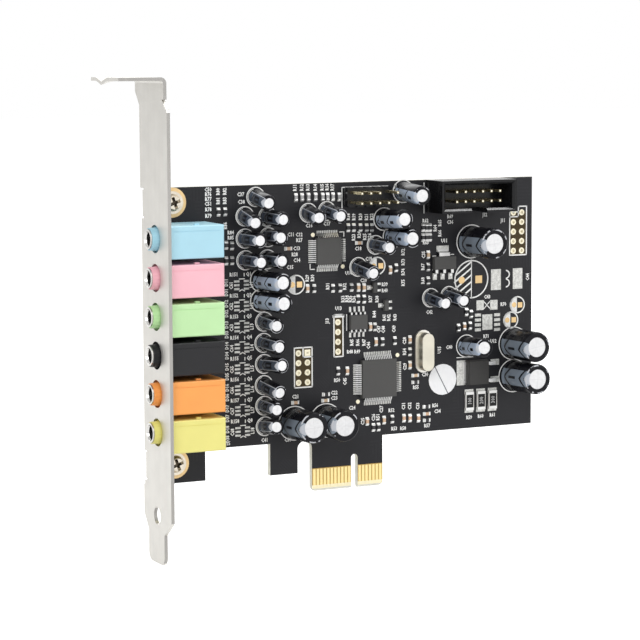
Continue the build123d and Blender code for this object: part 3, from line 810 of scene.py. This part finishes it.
chipPlan = {
    "length": 1.6, "width": 0.82, "height": 0.48, "end": 0.32, "edge": 0.05, "lift": 0.02,
    "lap": 0.05, "narrower": 0.04, "lower": 0.03,  # the body, beside its ends
    "filletLength": 0.6, "filletWider": 0.12, "filletHeight": 0.3, "filletToe": 0.2, "filletGap": 0.02,
    "paleResistorsUpright": [
        (-16.3, 75.9), (-14.6, 75.9), (-12.8, 75.9), (-10.8, 75.9), (-8.8, 75.8), (-7.4, 75.8), (-5.9, 75.8),
        (-4.1, 75.7)],
    "resistorsUpright": [
        (-1.6, 67.7), (0.0, 67.7), (1.9, 67.6), (3.7, 67.5), (5.2, 67.5), (-11.3, 52.5),
        (-6.0, 52.3), (-3.9, 52.3), (-0.7, 52.3), (1.2, 49.2), (2.9, 49.1), (12.2, 56.8), (6.0, 41.7),
        (-4.6, 30.8), (8.2, 37.7), (11.8, 37.8), (11.0, 17.2), (5.5, 15.4), (7.0, 15.4), (16.2, 34.6),
        (20.1, 67.0), (21.1, 66.9), (22.1, 66.9), (20.1, 64.4), (21.2, 64.4), (22.1, 64.4), (21.6, 56.6),
        (21.6, 53.0), (30.6, 40.1), (34.1, 40.5), (33.0, 44.2), (34.4, 43.6), (-37.6, 72.9), (-35.8, 72.9),
        (-35.6, 64.5), (-34.0, 64.3), (-35.6, 60.6), (-34.0, 60.6)],
    "resistorsLevel": [
        (-8.1, 25.0), (17.8, 26.5), (21.1, 19.8), (21.2, 16.2)],
    "ceramicsUpright": [
        (-13.2, 52.6), (1.3, 52.2), (2.9, 52.1), (10.5, 56.3), (4.7, 41.8), (6.3, 37.8), (-2.0, 30.7),
        (3.7, 17.1), (8.6, 17.1), (16.2, 37.8), (16.2, 31.1), (14.4, 17.2), (16.2, 17.1), (18.7, 16.9),
        (21.6, 59.8), (32.4, 40.4)],
    "ceramicsLevel": [
        (-18.5, 63.0), (1.5, 63.7), (-16.8, 23.4), (-8.3, 23.4), (17.8, 28.3), (21.2, 17.9)],
}
ceramicLook = {
    "bodies": ((0.62, 0.30, 0.20), (0.60, 0.50, 0.30)), "speck": (0.75, 0.66, 0.52), "speckShare": 0.3,
    "batchGrain": 90, "grain": 1800, "roughness": (0.4, 0.2), "bump": (0.3, 0.02),
}


def chipTurns(kind):
    upright = [(x, z, 90) for x, z in chipPlan[kind + "Upright"]]
    return upright + [(x, z, 0) for x, z in chipPlan.get(kind + "Level", [])]


def ceramicFinish(look):
    # sintered ceramic, from pinkish brown to pale tan
    finish = Finish("chipCeramic", {"Specular IOR Level": 0.4})
    grain = finish.noise(look["grain"], 3)
    body = finish.mix(finish.noise(look["batchGrain"], 1), *look["bodies"])
    return finish.surface(look, finish.mix(grain * look["speckShare"], body, look["speck"]), grain)


chipKinds = {"resistors": chipGlaze, "paleResistors": paleGlaze, "ceramics": ceramicFinish(ceramicLook)}
length, width, height, edge = [chipPlan[key] for key in ("length", "width", "height", "edge")]
bodyLength = length - 2 * chipPlan["end"] + chipPlan["lap"]
chipSpots = []
for kind, finish in chipKinds.items():
    body = slab(bodyLength, width - chipPlan["narrower"], height - chipPlan["lower"], edge)
    places = [onFront(x, z, turn, chipPlan["lift"]) for x, z, turn in chipTurns(kind)]
    fuse(kind[:-1] + "Chips", spread(body, places), finish)
    chipSpots += chipTurns(kind)
endCap = slab(chipPlan["end"], width, height, edge)
endSpots = []
filletSpots = []
for side in (0, 180):
    toEnd = spin(side) @ shift((length - chipPlan["end"]) / 2)
    toFillet = spin(side) @ shift(length / 2 + chipPlan["filletGap"])
    endSpots += [onFront(x, z, turn, chipPlan["lift"]) @ toEnd for x, z, turn in chipSpots]
    filletSpots += [onFront(x, z, turn) @ toFillet for x, z, turn in chipSpots]
fuse("chipEnds", spread(endCap, endSpots), chipTin)
fillet = slab(chipPlan["filletLength"], width + chipPlan["filletWider"], chipPlan["filletHeight"])
pickFaces(lambda centre, normal: normal.x > squareOn)
bpy.ops.transform.resize(value=(1, 1, chipPlan["filletToe"]), center_override=(0, 0, 0))
tidyMesh()
fuse("chipSolder", spread(fillet, filletSpots), solderTin)


# Three-lead transistors near the small chip

transistorPlan = {
    "places": [(5.75, 52.0), (9.0, 47.2)],
    "body": (1.3, 2.9, 1.0), "edge": 0.06, "crown": 0.9, "lift": 0.08,
    "rightRows": (-0.85, 0.85), "reach": 1.25,
    "foot": (0.5, 0.42, 0.14), "footEdge": 0.02, "climbs": [(0.4, -0.25), (0.02, -0.3)],  # up and along
}


def leadPiece(plan):
    # a foot, drawn up and along to the body
    slab(*plan["foot"], plan["footEdge"])
    pickFaces(lambda centre, normal: normal.x < -squareOn)
    for up, along in plan["climbs"]:
        rise(up, along)
    return tidyMesh()


bodies = spread(
    slab(*transistorPlan["body"], transistorPlan["edge"], transistorPlan["crown"]),
    [onFront(x, z, 0, transistorPlan["lift"]) for x, z in transistorPlan["places"]])
fuse("transistorBodies", bodies, chipEpoxy)
leadSpots = []
for x, z in transistorPlan["places"]:
    leadSpots += [(x, z + row, 0) for row in transistorPlan["rightRows"]] + [(x, z, 180)]
reach = shift(transistorPlan["reach"])
leads = spread(leadPiece(transistorPlan), [onFront(x, z, turn) @ reach for x, z, turn in leadSpots])
fuse("transistorLeads", leads, chipTin)


# Tinned pads, each a thin plate

padPlan = {
    "thickness": 0.04,
    "plain": [  # x, z, width, height
        (39.35, 41.2, 3.0, 4.1), (37.15, 45.8, 2.2, 2.6), (41.3, 45.7, 2.2, 2.6),
        (41.9, 52.4, 3.0, 5.5), (48.5, 52.4, 2.9, 5.5),
        (25.9, 61.3, 3.6, 1.5), (31.45, 28.1, 2.6, 6.6), (41.65, 30.4, 2.6, 1.6), (41.65, 25.8, 2.6, 1.6)],
    "columns": {"tops": [(36.5, 43.2), (42.3, 43.0)], "pitch": 1.3, "count": 4, "size": (1.8, 0.8)},
    "quadChips": {"chips": [(-7.6, 62.0, 12, 4.6), (6.7, 28.3, 16, 6.3)], "pitch": 0.5, "size": (1.3, 0.3)},
    "rows": [  # the small chip, the small regulator and the power resistors, with each row's way off in z
        {"at": (0.8, 43.3), "rows": (-3.2, 3.2), "pitch": 1.27, "count": 4, "size": (0.6, 1.5)},
        {"at": (25.9, 54.0), "rows": (0,), "pitch": 2.3, "count": 3, "size": (1.2, 1.7)},
        {"at": resistorLook["at"], "rows": (-2.45, 2.45), "pitch": resistorLook["pitch"],
         "count": resistorLook["count"], "size": (2.6, 1.3)}],
    "transistors": {0: (1.35, 1.3, 0.6), 180: (-1.35, 1.3, 1.1)},  # by the lead's turn: away, width, height
}
# the empty six-pad places beside the jacks, with their marks and designators
sixPadPlan = {
    "top": 54.3, "pitch": 5.33, "count": 8, "rows": (-0.97, 0, 0.97),
    "columns": [(-32.77, 1.47), (-30.13, 1.42)], "height": 0.52,
    "marks": [
        [(-32.04, 1.55), (-30.68, 1.55)], [(-32.02, -1.5), (-31.33, -1.12), (-30.66, -1.52)],
        [(-30.72, 2.9), (-30.72, 2.25)]],
    "labels": [  # letter, first number, x, z, turn
        ("R", 151, -33.57, 2.7, 0), ("Q", 1, -29.45, 2.7, 0), ("C", 61, -34.26, 0, 90),
        ("D", 11, -35.62, 0.8, 90), ("D", 31, -35.62, -1.7, 90), ("L", 11, -28.7, 0, 90)],
}
padSolderLook = {
    "tones": ((0.44, 0.44, 0.42), (0.68, 0.68, 0.65)), "brightEdge": (0.40, 0.58),
    "pitShare": 0.4, "pitDeep": 0.5, "flowGrain": 1300, "pitGrain": 4200,
    "roughness": (0.28, 0.22), "bump": (0.3, 0.04),
}
sixPadRows = [sixPadPlan["top"] - sixPadPlan["pitch"] * i for i in range(sixPadPlan["count"])]


def findPads(plan):
    pads = list(plan["plain"])
    group = plan["columns"]
    for row in range(group["count"]):
        pads += [(x, z - group["pitch"] * row, *group["size"]) for x, z in group["tops"]]
    group = plan["quadChips"]
    long, wide = group["size"]
    for x, z, count, away in group["chips"]:
        for offset in evenly(count, group["pitch"]):
            pads += [(x + side * away, z + offset, long, wide) for side in (-1, 1)]
            pads += [(x + offset, z + side * away, wide, long) for side in (-1, 1)]
    for group in plan["rows"]:
        x, z = group["at"]
        for offset in evenly(group["count"], group["pitch"]):
            pads += [(x + offset, z + row, *group["size"]) for row in group["rows"]]
    for x, z, turn in leadSpots:
        away, width, height = plan["transistors"][turn]
        pads.append((x + away, z, width, height))
    for z in sixPadRows:
        for x, width in sixPadPlan["columns"]:
            pads += [(x, z + row, width, sixPadPlan["height"]) for row in sixPadPlan["rows"]]
    return pads


def padSolderFinish(look):
    # bright where the solder flowed, grey and pitted where it froze
    finish = Finish("padSolder", {"Metallic": 0.4})
    flow = finish.noise(look["flowGrain"], 4)
    pits = finish.noise(look["pitGrain"])
    bright = finish.ramp(flow * (1 - look["pitShare"]) + pits * look["pitShare"], *look["brightEdge"])
    relief = flow + pits * look["pitDeep"]
    return finish.surface(look, finish.mix(bright, *look["tones"]), pits, height=relief)


pad = slab(1, 1, padPlan["thickness"])
padPlaces = [onFront(x, z, 0, 0, (width, height, 1)) for x, z, width, height in findPads(padPlan)]
fuse("solderPads", spread(pad, padPlaces), padSolderFinish(padSolderLook))


# Gold: eyelets of the headers that are not fitted, sighting dots, lone pads and screw rings

goldPlan = {
    "thickness": 0.04,
    "eyelet": 0.82, "bore": 0.4, "sides": 20, "flange": 0.05, "chamfer": 0.04, "wall": 0.012,
    "headers": [(-15.82, 36.06, 2, 4), (-4.59, 43.45, 1, 4), (47.14, 69.99, 2, 5)],  # x, z, columns, rows
    "firstPin": (-13.28, 36.06), "squareRing": (1.16, 0.6),
    "button": [(1, 0), (1, 0.03), (0.95, 0.05)], "buttonSides": 24,
    "dots": [(-11.57, 66.23), (-3.15, 57.79), (12.59, 33.96), (1.08, 22.44)], "dotRadius": 0.55,
    "squarePads": [
        (-15.4, 53.7, 1.5), (7.8, 57.5, 1.4), (36.7, 52.7, 2.0), (49.3, 45.3, 1.4), (47.4, 41.4, 1.4)],
    "roundPads": [
        (-17.4, 53.7, 0.75), (31.6, 52.7, 0.95), (47.5, 45.4, 0.7), (45.4, 41.4, 0.7), (5.7, 57.5, 0.7)],
    "screwRing": (3.75, 1.9, 0.05), "ringSides": 48,
}


def eyelet(plan):
    # a flange on each face of the board, joined by a tube through its hole
    outer, bore, flange = plan["eyelet"], plan["bore"], plan["flange"]
    crest = outer - plan["chamfer"]
    tube = bore + plan["wall"]
    back = -2 * abs(frontY) / mm
    outline = [
        (bore, flange), (crest, flange), (outer, 0), (tube, 0), (tube, back), (outer, back),
        (crest, back - flange), (bore, back - flange), (bore, flange)]
    return turned(outline, plan["sides"], solid=False)


def buttons(sides, spots):
    # low round pads with an eased edge: x, z, radius
    return spread(turned(goldPlan["button"], sides), [onFront(x, z, 0, 0, (r, r, 1)) for x, z, r in spots])


headerPlaces = []
for left, top, columns, rows in goldPlan["headers"]:
    for column in range(columns):
        headerPlaces += [onFront(left + pinPitch * column, top - pinPitch * row) for row in range(rows)]
eyelets = spread(eyelet(goldPlan), headerPlaces)
square = flatRing(*goldPlan["squareRing"], goldPlan["thickness"], 4)
eyelets += spread(square, [onFront(*goldPlan["firstPin"], 45)])
eyelets += buttons(goldPlan["sides"], [(x, z, goldPlan["dotRadius"]) for x, z in goldPlan["dots"]])
fuse("headerEyelets", eyelets, eyeletTin)
squarePlaces = [onFront(x, z, 0, 0, (width, width, 1)) for x, z, width in goldPlan["squarePads"]]
gold = spread(slab(1, 1, goldPlan["thickness"]), squarePlaces)
gold += buttons(goldPlan["buttonSides"], goldPlan["roundPads"])
screwPlaces = [onFront(screwLook["x"], z) for z in screwLook["zs"]]
gold += spread(flatRing(*goldPlan["screwRing"], goldPlan["ringSides"]), screwPlaces)
fuse("goldPads", gold, padGold)


# White print: rings round the capacitors, outlines, marks and generic designators

printPlan = {
    "ink": 0.02, "fine": 0.16, "line": 0.23, "ring": 0.28, "bold": 0.34, "bar": 0.72,
    "headerOutlines": [
        [(-16.95, 27.2), (-16.95, 37.45), (-11.97, 37.45), (-11.97, 27.2), (-16.95, 27.2)],
        [(-14.5, 37.45), (-14.5, 35.0), (-11.97, 35.0)],
        [(-5.72, 34.55), (-5.72, 45.4), (-3.15, 45.4), (-3.15, 34.55), (-5.72, 34.55)],
        [(46.05, 70.15), (48.67, 70.15), (48.67, 71.6), (51.15, 71.6), (51.15, 58.7), (46.05, 58.7),
         (46.05, 70.15)],
        [(46.05, 68.9), (48.67, 68.9), (48.67, 70.15)]],
    "headerBar": (-5.72, 45.02, -3.15, 45.02),
    "outlines": [
        [(-3.3, 72.6), (-3.3, 78.1), (9.8, 78.1)], [(20.4, 78.6), (20.4, 70.8)],
        [(-4.0, 66.7), (-2.8, 66.7), (-2.8, 65.6)], [(-12.4, 58.7), (-12.4, 57.4), (-11.2, 57.4)],
        [(-2.1, 45.3), (-2.1, 41.2)], [(23.9, 59.4), (23.0, 59.4), (23.0, 55.8)],
        [(28.3, 59.6), (29.2, 59.6)], [(34.51, 47.8), (34.51, 57.9)],
        [(38.4, 46.6), (40.0, 44.9)], [(38.4, 44.9), (40.0, 46.6)], [(30.2, 32.2), (35.0, 32.2)]],
    "hatch": [
        (30.0, 54.2, 34.4, 57.4), (29.5, 52.2, 34.4, 55.7), (29.7, 50.5, 34.4, 53.9),
        (30.6, 49.4, 34.4, 52.1), (32.0, 48.6, 34.4, 50.3)],
    "hatchLine": 0.42,
    "shadedRings": [(-16.39, 53.7, 2.55), (6.75, 57.52, 2.4), (48.48, 45.38, 2.3), (46.48, 41.38, 2.3)],
    "shadeLines": 11, "shadeFrom": 0.1, "shadeSpan": 0.85, "shadeGap": 0.12,
    "hatchedRing": (34.51, 52.83, 5.1), "ringSides": 48, "innerRingEnd": -0.5,
    "braceRings": [(44.95, 53.65), (44.95, 51.35)], "braceRadius": 1.2, "braceSides": 32,
    "labelSize": 1.35, "labelWeight": 0.045, "labelSqueeze": 0.82, "firstNumber": 11,
    "valueGrow": 1.15, "valueStep": 100,
}
# designators, most of them beside a chip: x, z, turn
labelPlan = {
    "C": [
        (-17.7, 66.5, 0), (-15.4, 66.4, 0), (-16.1, 62.9, 0), (-16.1, 59.9, 0), (-18.0, 58.2, 0),
        (-12.6, 68.6, 0), (-7.6, 68.9, 0), (1.3, 62.2, 0), (4.3, 59.4, 0), (2.8, 53.9, 0), (-16.7, 24.9, 0),
        (-5.7, 25.2, 0), (-5.7, 23.8, 0), (-0.6, 20.9, 0), (2.5, 17.2, 90), (5.6, 18.0, 90),
        (7.9, 20.0, 90), (14.7, 37.6, 90), (14.8, 30.8, 90), (20.7, 28.3, 0), (14.4, 20.4, 90),
        (16.2, 20.3, 90), (18.6, 20.1, 90), (24.4, 18.3, 0), (20.3, 59.9, 90), (28.1, 68.1, 0),
        (-31.5, 77.1, 0), (-31.3, 75.2, 0), (-18.9, 13.9, 0), (27.9, 35.1, 0), (-25.4, 14.3, 0),
        (22.0, 44.7, 0), (39.3, 47.9, 0), (51.6, 52.7, 90), (-2.6, 28.0, 90), (4.2, 37.0, 90),
        (7.2, 41.0, 90), (8.5, 40.9, 90), (11.6, 40.9, 90), (-40.3, 78.55, 0), (-40.3, 75.0, 0),
        (49.9, 37.9, 0)],
    "R": [
        (-16.5, 78.4, 90), (-14.6, 78.4, 90), (-12.9, 78.4, 90), (-10.8, 78.3, 90), (-8.9, 78.3, 90),
        (-7.5, 78.3, 90), (-6.0, 78.2, 90), (-1.5, 70.5, 90), (0.1, 70.4, 90), (2.0, 70.4, 90),
        (3.7, 70.3, 90), (5.2, 70.3, 90), (0.0, 65.2, 90), (1.6, 65.8, 90), (3.2, 65.2, 90),
        (4.6, 65.2, 90), (-15.4, 65.0, 0), (-16.7, 61.4, 0), (-13.2, 55.2, 90), (-11.7, 55.2, 90),
        (-7.4, 52.9, 90), (-2.6, 52.6, 90), (-3.1, 49.4, 90), (-2.0, 49.4, 90), (-1.0, 49.3, 90),
        (0.1, 49.2, 90), (4.8, 49.0, 90), (6.7, 48.9, 90), (8.9, 52.6, 0), (8.9, 51.0, 0), (8.8, 44.0, 90),
        (10.1, 43.9, 90), (11.9, 43.9, 90), (5.9, 45.0, 90), (-0.6, 38.0, 90), (1.1, 37.9, 90),
        (2.9, 37.8, 90), (-1.2, 35.6, 0), (0.9, 35.5, 0), (-4.9, 28.4, 0), (6.9, 18.0, 90), (10.8, 19.5, 0),
        (11.6, 14.6, 0), (14.7, 34.7, 90), (18.0, 25.1, 0), (23.7, 19.9, 0), (21.3, 14.7, 0),
        (14.2, 14.5, 0), (33.9, 16.0, 0), (37.4, 16.1, 0), (41.0, 16.2, 0), (20.8, 68.7, 0),
        (20.9, 63.0, 0), (23.7, 66.7, 90), (25.1, 68.0, 90), (25.1, 65.3, 90), (20.1, 56.7, 90),
        (20.1, 53.1, 90), (28.1, 69.6, 0), (44.2, 45.7, 0), (39.0, 37.4, 0), (14.3, 60.8, 90),
        (14.3, 58.2, 90), (14.3, 55.6, 90), (14.3, 52.8, 90), (-40.3, 77.4, 0), (-40.3, 76.2, 0),
        (-40.3, 73.6, 0), (-40.3, 72.0, 0), (-37.6, 78.0, 90), (-37.6, 75.7, 90), (-35.8, 78.0, 90),
        (-35.8, 75.7, 90), (-34.3, 67.6, 0), (-34.3, 66.3, 0), (-35.7, 69.4, 90)],
    "J": [
        (44.0, 68.0, 0), (38.5, 69.7, 0), (-7.6, 44.0, 90), (12.4, 78.0, 0), (-35.6, 14.2, 0)],
    "U": [
        (26.4, 63.3, 0), (41.2, 36.0, 0), (-4.4, 47.0, 0), (-1.5, 56.0, 0), (25.0, 34.6, 90)],
}
inkLook = {
    "whites": ((0.80, 0.80, 0.78), (0.97, 0.97, 0.95)), "onResistors": (0.40, 0.40, 0.40), "grain": 1400,
    "roughness": (0.5, 0.2), "bump": (0.3, 0.01),
}
resistorTop = (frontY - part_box("power_resistors")[0].y) / mm


def label(text, x, z, turn=0, lift=0.0, grow=1.0):
    pickOnly()
    bpy.ops.object.text_add()
    words = bpy.context.object
    words.data.body = text
    words.data.size = printPlan["labelSize"] * grow * mm
    words.data.align_x = "CENTER"
    words.data.align_y = "CENTER"
    words.data.resolution_u = 1
    words.data.offset = printPlan["labelWeight"] * mm
    words.data.extrude = printPlan["ink"] / 2 * mm
    bpy.ops.object.convert(target="MESH")
    made = bpy.context.object
    made.matrix_world = onFront(x, z, turn, lift + printPlan["ink"] / 2, (printPlan["labelSqueeze"], 1, 1))
    return made


def strokeSpot(x0, z0, x1, z1, width):
    long = math.hypot(x1 - x0, z1 - z0) + width
    turn = math.degrees(math.atan2(z1 - z0, x1 - x0))
    return onFront((x0 + x1) / 2, (z0 + z1) / 2, turn, 0, (long, width, 1))


def strokes(points, width):
    return [strokeSpot(*start, *end, width) for start, end in zip(points, points[1:])]


def printedRings(radius, line, sides, spots, keep=None):
    ring = flatRing(radius, radius - line, printPlan["ink"], sides, keep)
    return spread(ring, [onFront(x, z) for x, z in spots])


def inkFinish(look):
    # full white on the board, thin and greyer on the resistors
    finish = Finish("printInk", {"Specular IOR Level": 0.35})
    patchy = finish.noise(look["grain"], 4)
    raised = finish.spot().y < frontY - resistorTop / 2 * mm
    tone = finish.mix(raised, finish.mix(patchy, *look["whites"]), look["onResistors"])
    return finish.surface(look, tone, patchy)


fine, line, bold = printPlan["fine"], printPlan["line"], printPlan["bold"]
strokeSpots = [strokeSpot(*printPlan["headerBar"], printPlan["bar"])]
for points in printPlan["headerOutlines"]:
    strokeSpots += strokes(points, bold)
for points in printPlan["outlines"]:
    strokeSpots += strokes(points, line)
strokeSpots += [strokeSpot(*ends, printPlan["hatchLine"]) for ends in printPlan["hatch"]]
for x, z, ring in printPlan["shadedRings"]:
    for k in range(printPlan["shadeLines"]):
        away = ring * (printPlan["shadeFrom"] + printPlan["shadeSpan"] * k / printPlan["shadeLines"])
        half = math.sqrt(ring * ring - away * away) - printPlan["shadeGap"]
        strokeSpots.append(strokeSpot(x - away, z - half, x - away, z + half, fine))
for rowZ in sixPadRows:
    for points in sixPadPlan["marks"]:
        strokeSpots += strokes([(x, rowZ + z) for x, z in points], line)
printed = spread(slab(1, 1, printPlan["ink"]), strokeSpots)
for can in canPlan.values():
    spots = [place[:2] for place in can["places"]]
    printed += printedRings(can["ring"], printPlan["ring"], printPlan["ringSides"], spots)
    if can["innerRing"]:
        printed += printedRings(
            can["ring"] - can["innerRing"], fine, printPlan["ringSides"], spots,
            lambda spot: spot.x < printPlan["innerRingEnd"])
for x, z, ring in printPlan["shadedRings"] + [printPlan["hatchedRing"]]:
    printed += printedRings(ring, bold, printPlan["ringSides"], [(x, z)])
printed += printedRings(
    printPlan["braceRadius"], bold, printPlan["braceSides"], printPlan["braceRings"],
    lambda spot: spot.x > 0)
print("print lines:", len(printed))
for letter, spots in labelPlan.items():
    for number, (x, z, turn) in enumerate(spots, printPlan["firstNumber"]):
        printed.append(label(letter + str(number), x, z, turn))
x, z = resistorLook["at"]
for i, offset in enumerate(evenly(resistorLook["count"], resistorLook["pitch"]), 1):
    value = str(printPlan["valueStep"] * i)
    printed.append(label(value, x + offset, z, 90, resistorTop, printPlan["valueGrow"]))
for i, rowZ in enumerate(sixPadRows):
    for letter, first, x, z, turn in sixPadPlan["labels"]:
        printed.append(label(letter + str(first + i), x, rowZ + z, turn))
fuse("whitePrint", printed, inkFinish(inkLook))


# Solder joints on the back, one for each lead that goes through the board

jointPlan = {
    "joint": [(0.95, 0), (0.9, 0.12), (0.55, 0.4), (0.36, 0.8), (0.3, 1.05), (0.2, 1.12)], "sides": 14,
    "jackPins": [(-52.6, 2.4), (-52.6, -2.4), (-47.2, 0), (-44.4, 2.6), (-44.4, -2.6)],  # x and z in a jack
    "jackTop": 67.3, "jackPitch": 9.55,
    "headers": [(3.4, 75.6, 5), (32.0, 75.2, 6)],  # x, z and how many pins in each of two rows
    "crystal": (19.9, 34.6, 2.44),
}
jointSpots = []
for can in canPlan.values():
    for x, z in [place[:2] for place in can["places"]]:
        jointSpots += [(x - can["pins"], z), (x + can["pins"], z)]
for i in range(len(jackTints)):
    jackZ = jointPlan["jackTop"] - jointPlan["jackPitch"] * i
    jointSpots += [(x, jackZ + z) for x, z in jointPlan["jackPins"]]
for x, z, columns in jointPlan["headers"]:
    for across in evenly(columns, pinPitch):
        jointSpots += [(x + across, z + up) for up in evenly(2, pinPitch)]
x, z, away = jointPlan["crystal"]
jointSpots += [(x, z - away), (x, z + away)]
joint = turned(jointPlan["joint"], jointPlan["sides"])
fuse("backSolder", spread(joint, [onBack(x, z) for x, z in jointSpots]), solderTin)


# Floor, backdrop and soft studio light

stagePlan = {
    "floorSize": 8.0, "floorColour": (0.75, 0.75, 0.75, 1), "floorRoughness": 0.9, "floorSpecular": 0.1,
    "floorGlow": 0.63, "ambient": 0.5,
    "lamps": [
        {"at": (-0.75, -1.0, 0.75), "size": 0.9, "watts": 8.5},
        {"at": (0.8, -0.9, 0.5), "size": 0.9, "watts": 3.2},
        {"at": (0.54, -0.09, 0.98), "size": 0.25, "watts": 3.6},
        {"at": (0.2, 0.9, 0.8), "size": 0.9, "watts": 4.0}],
}


def addFloor(plan):
    # the glow is for seen rays alone, so the floor looks white and lights nothing
    pickOnly()
    bpy.ops.mesh.primitive_plane_add(size=plan["floorSize"], location=(0, 0, cadBox[0].z))
    floor = bpy.context.object
    floor.name = "floor"
    finish = Finish("paleFloor", {
        "Base Color": plan["floorColour"], "Roughness": plan["floorRoughness"],
        "Specular IOR Level": plan["floorSpecular"], "Emission Strength": 1.0})
    finish.feed("Emission Color", finish.mix(finish.seen(), (0, 0, 0), (plan["floorGlow"],) * 3))
    floor.data.materials.append(finish.material)


def addWorld(plan):
    world = bpy.data.worlds.new("studio")
    scene.world = world
    world.use_nodes = True
    graph = Graph(world.node_tree)
    background = world.node_tree.nodes["Background"]
    background.inputs["Color"].default_value = (1, 1, 1, 1)
    graph.join(plan["ambient"] + (1 - plan["ambient"]) * graph.seen(), background.inputs["Strength"])


def addLamps(plan):
    middle = (cadBox[0] + cadBox[1]) / 2
    for lamp in plan["lamps"]:
        bpy.ops.object.light_add(type="AREA", location=lamp["at"])
        light = bpy.context.object
        light.data.shape = "DISK"
        light.data.size = lamp["size"]
        light.data.energy = lamp["watts"]
        light.rotation_euler = (middle - light.location).to_track_quat("-Z", "Y").to_euler()


addFloor(stagePlan)
addWorld(stagePlan)
addLamps(stagePlan)
scene.view_settings.view_transform = "Standard"
print("stage set")
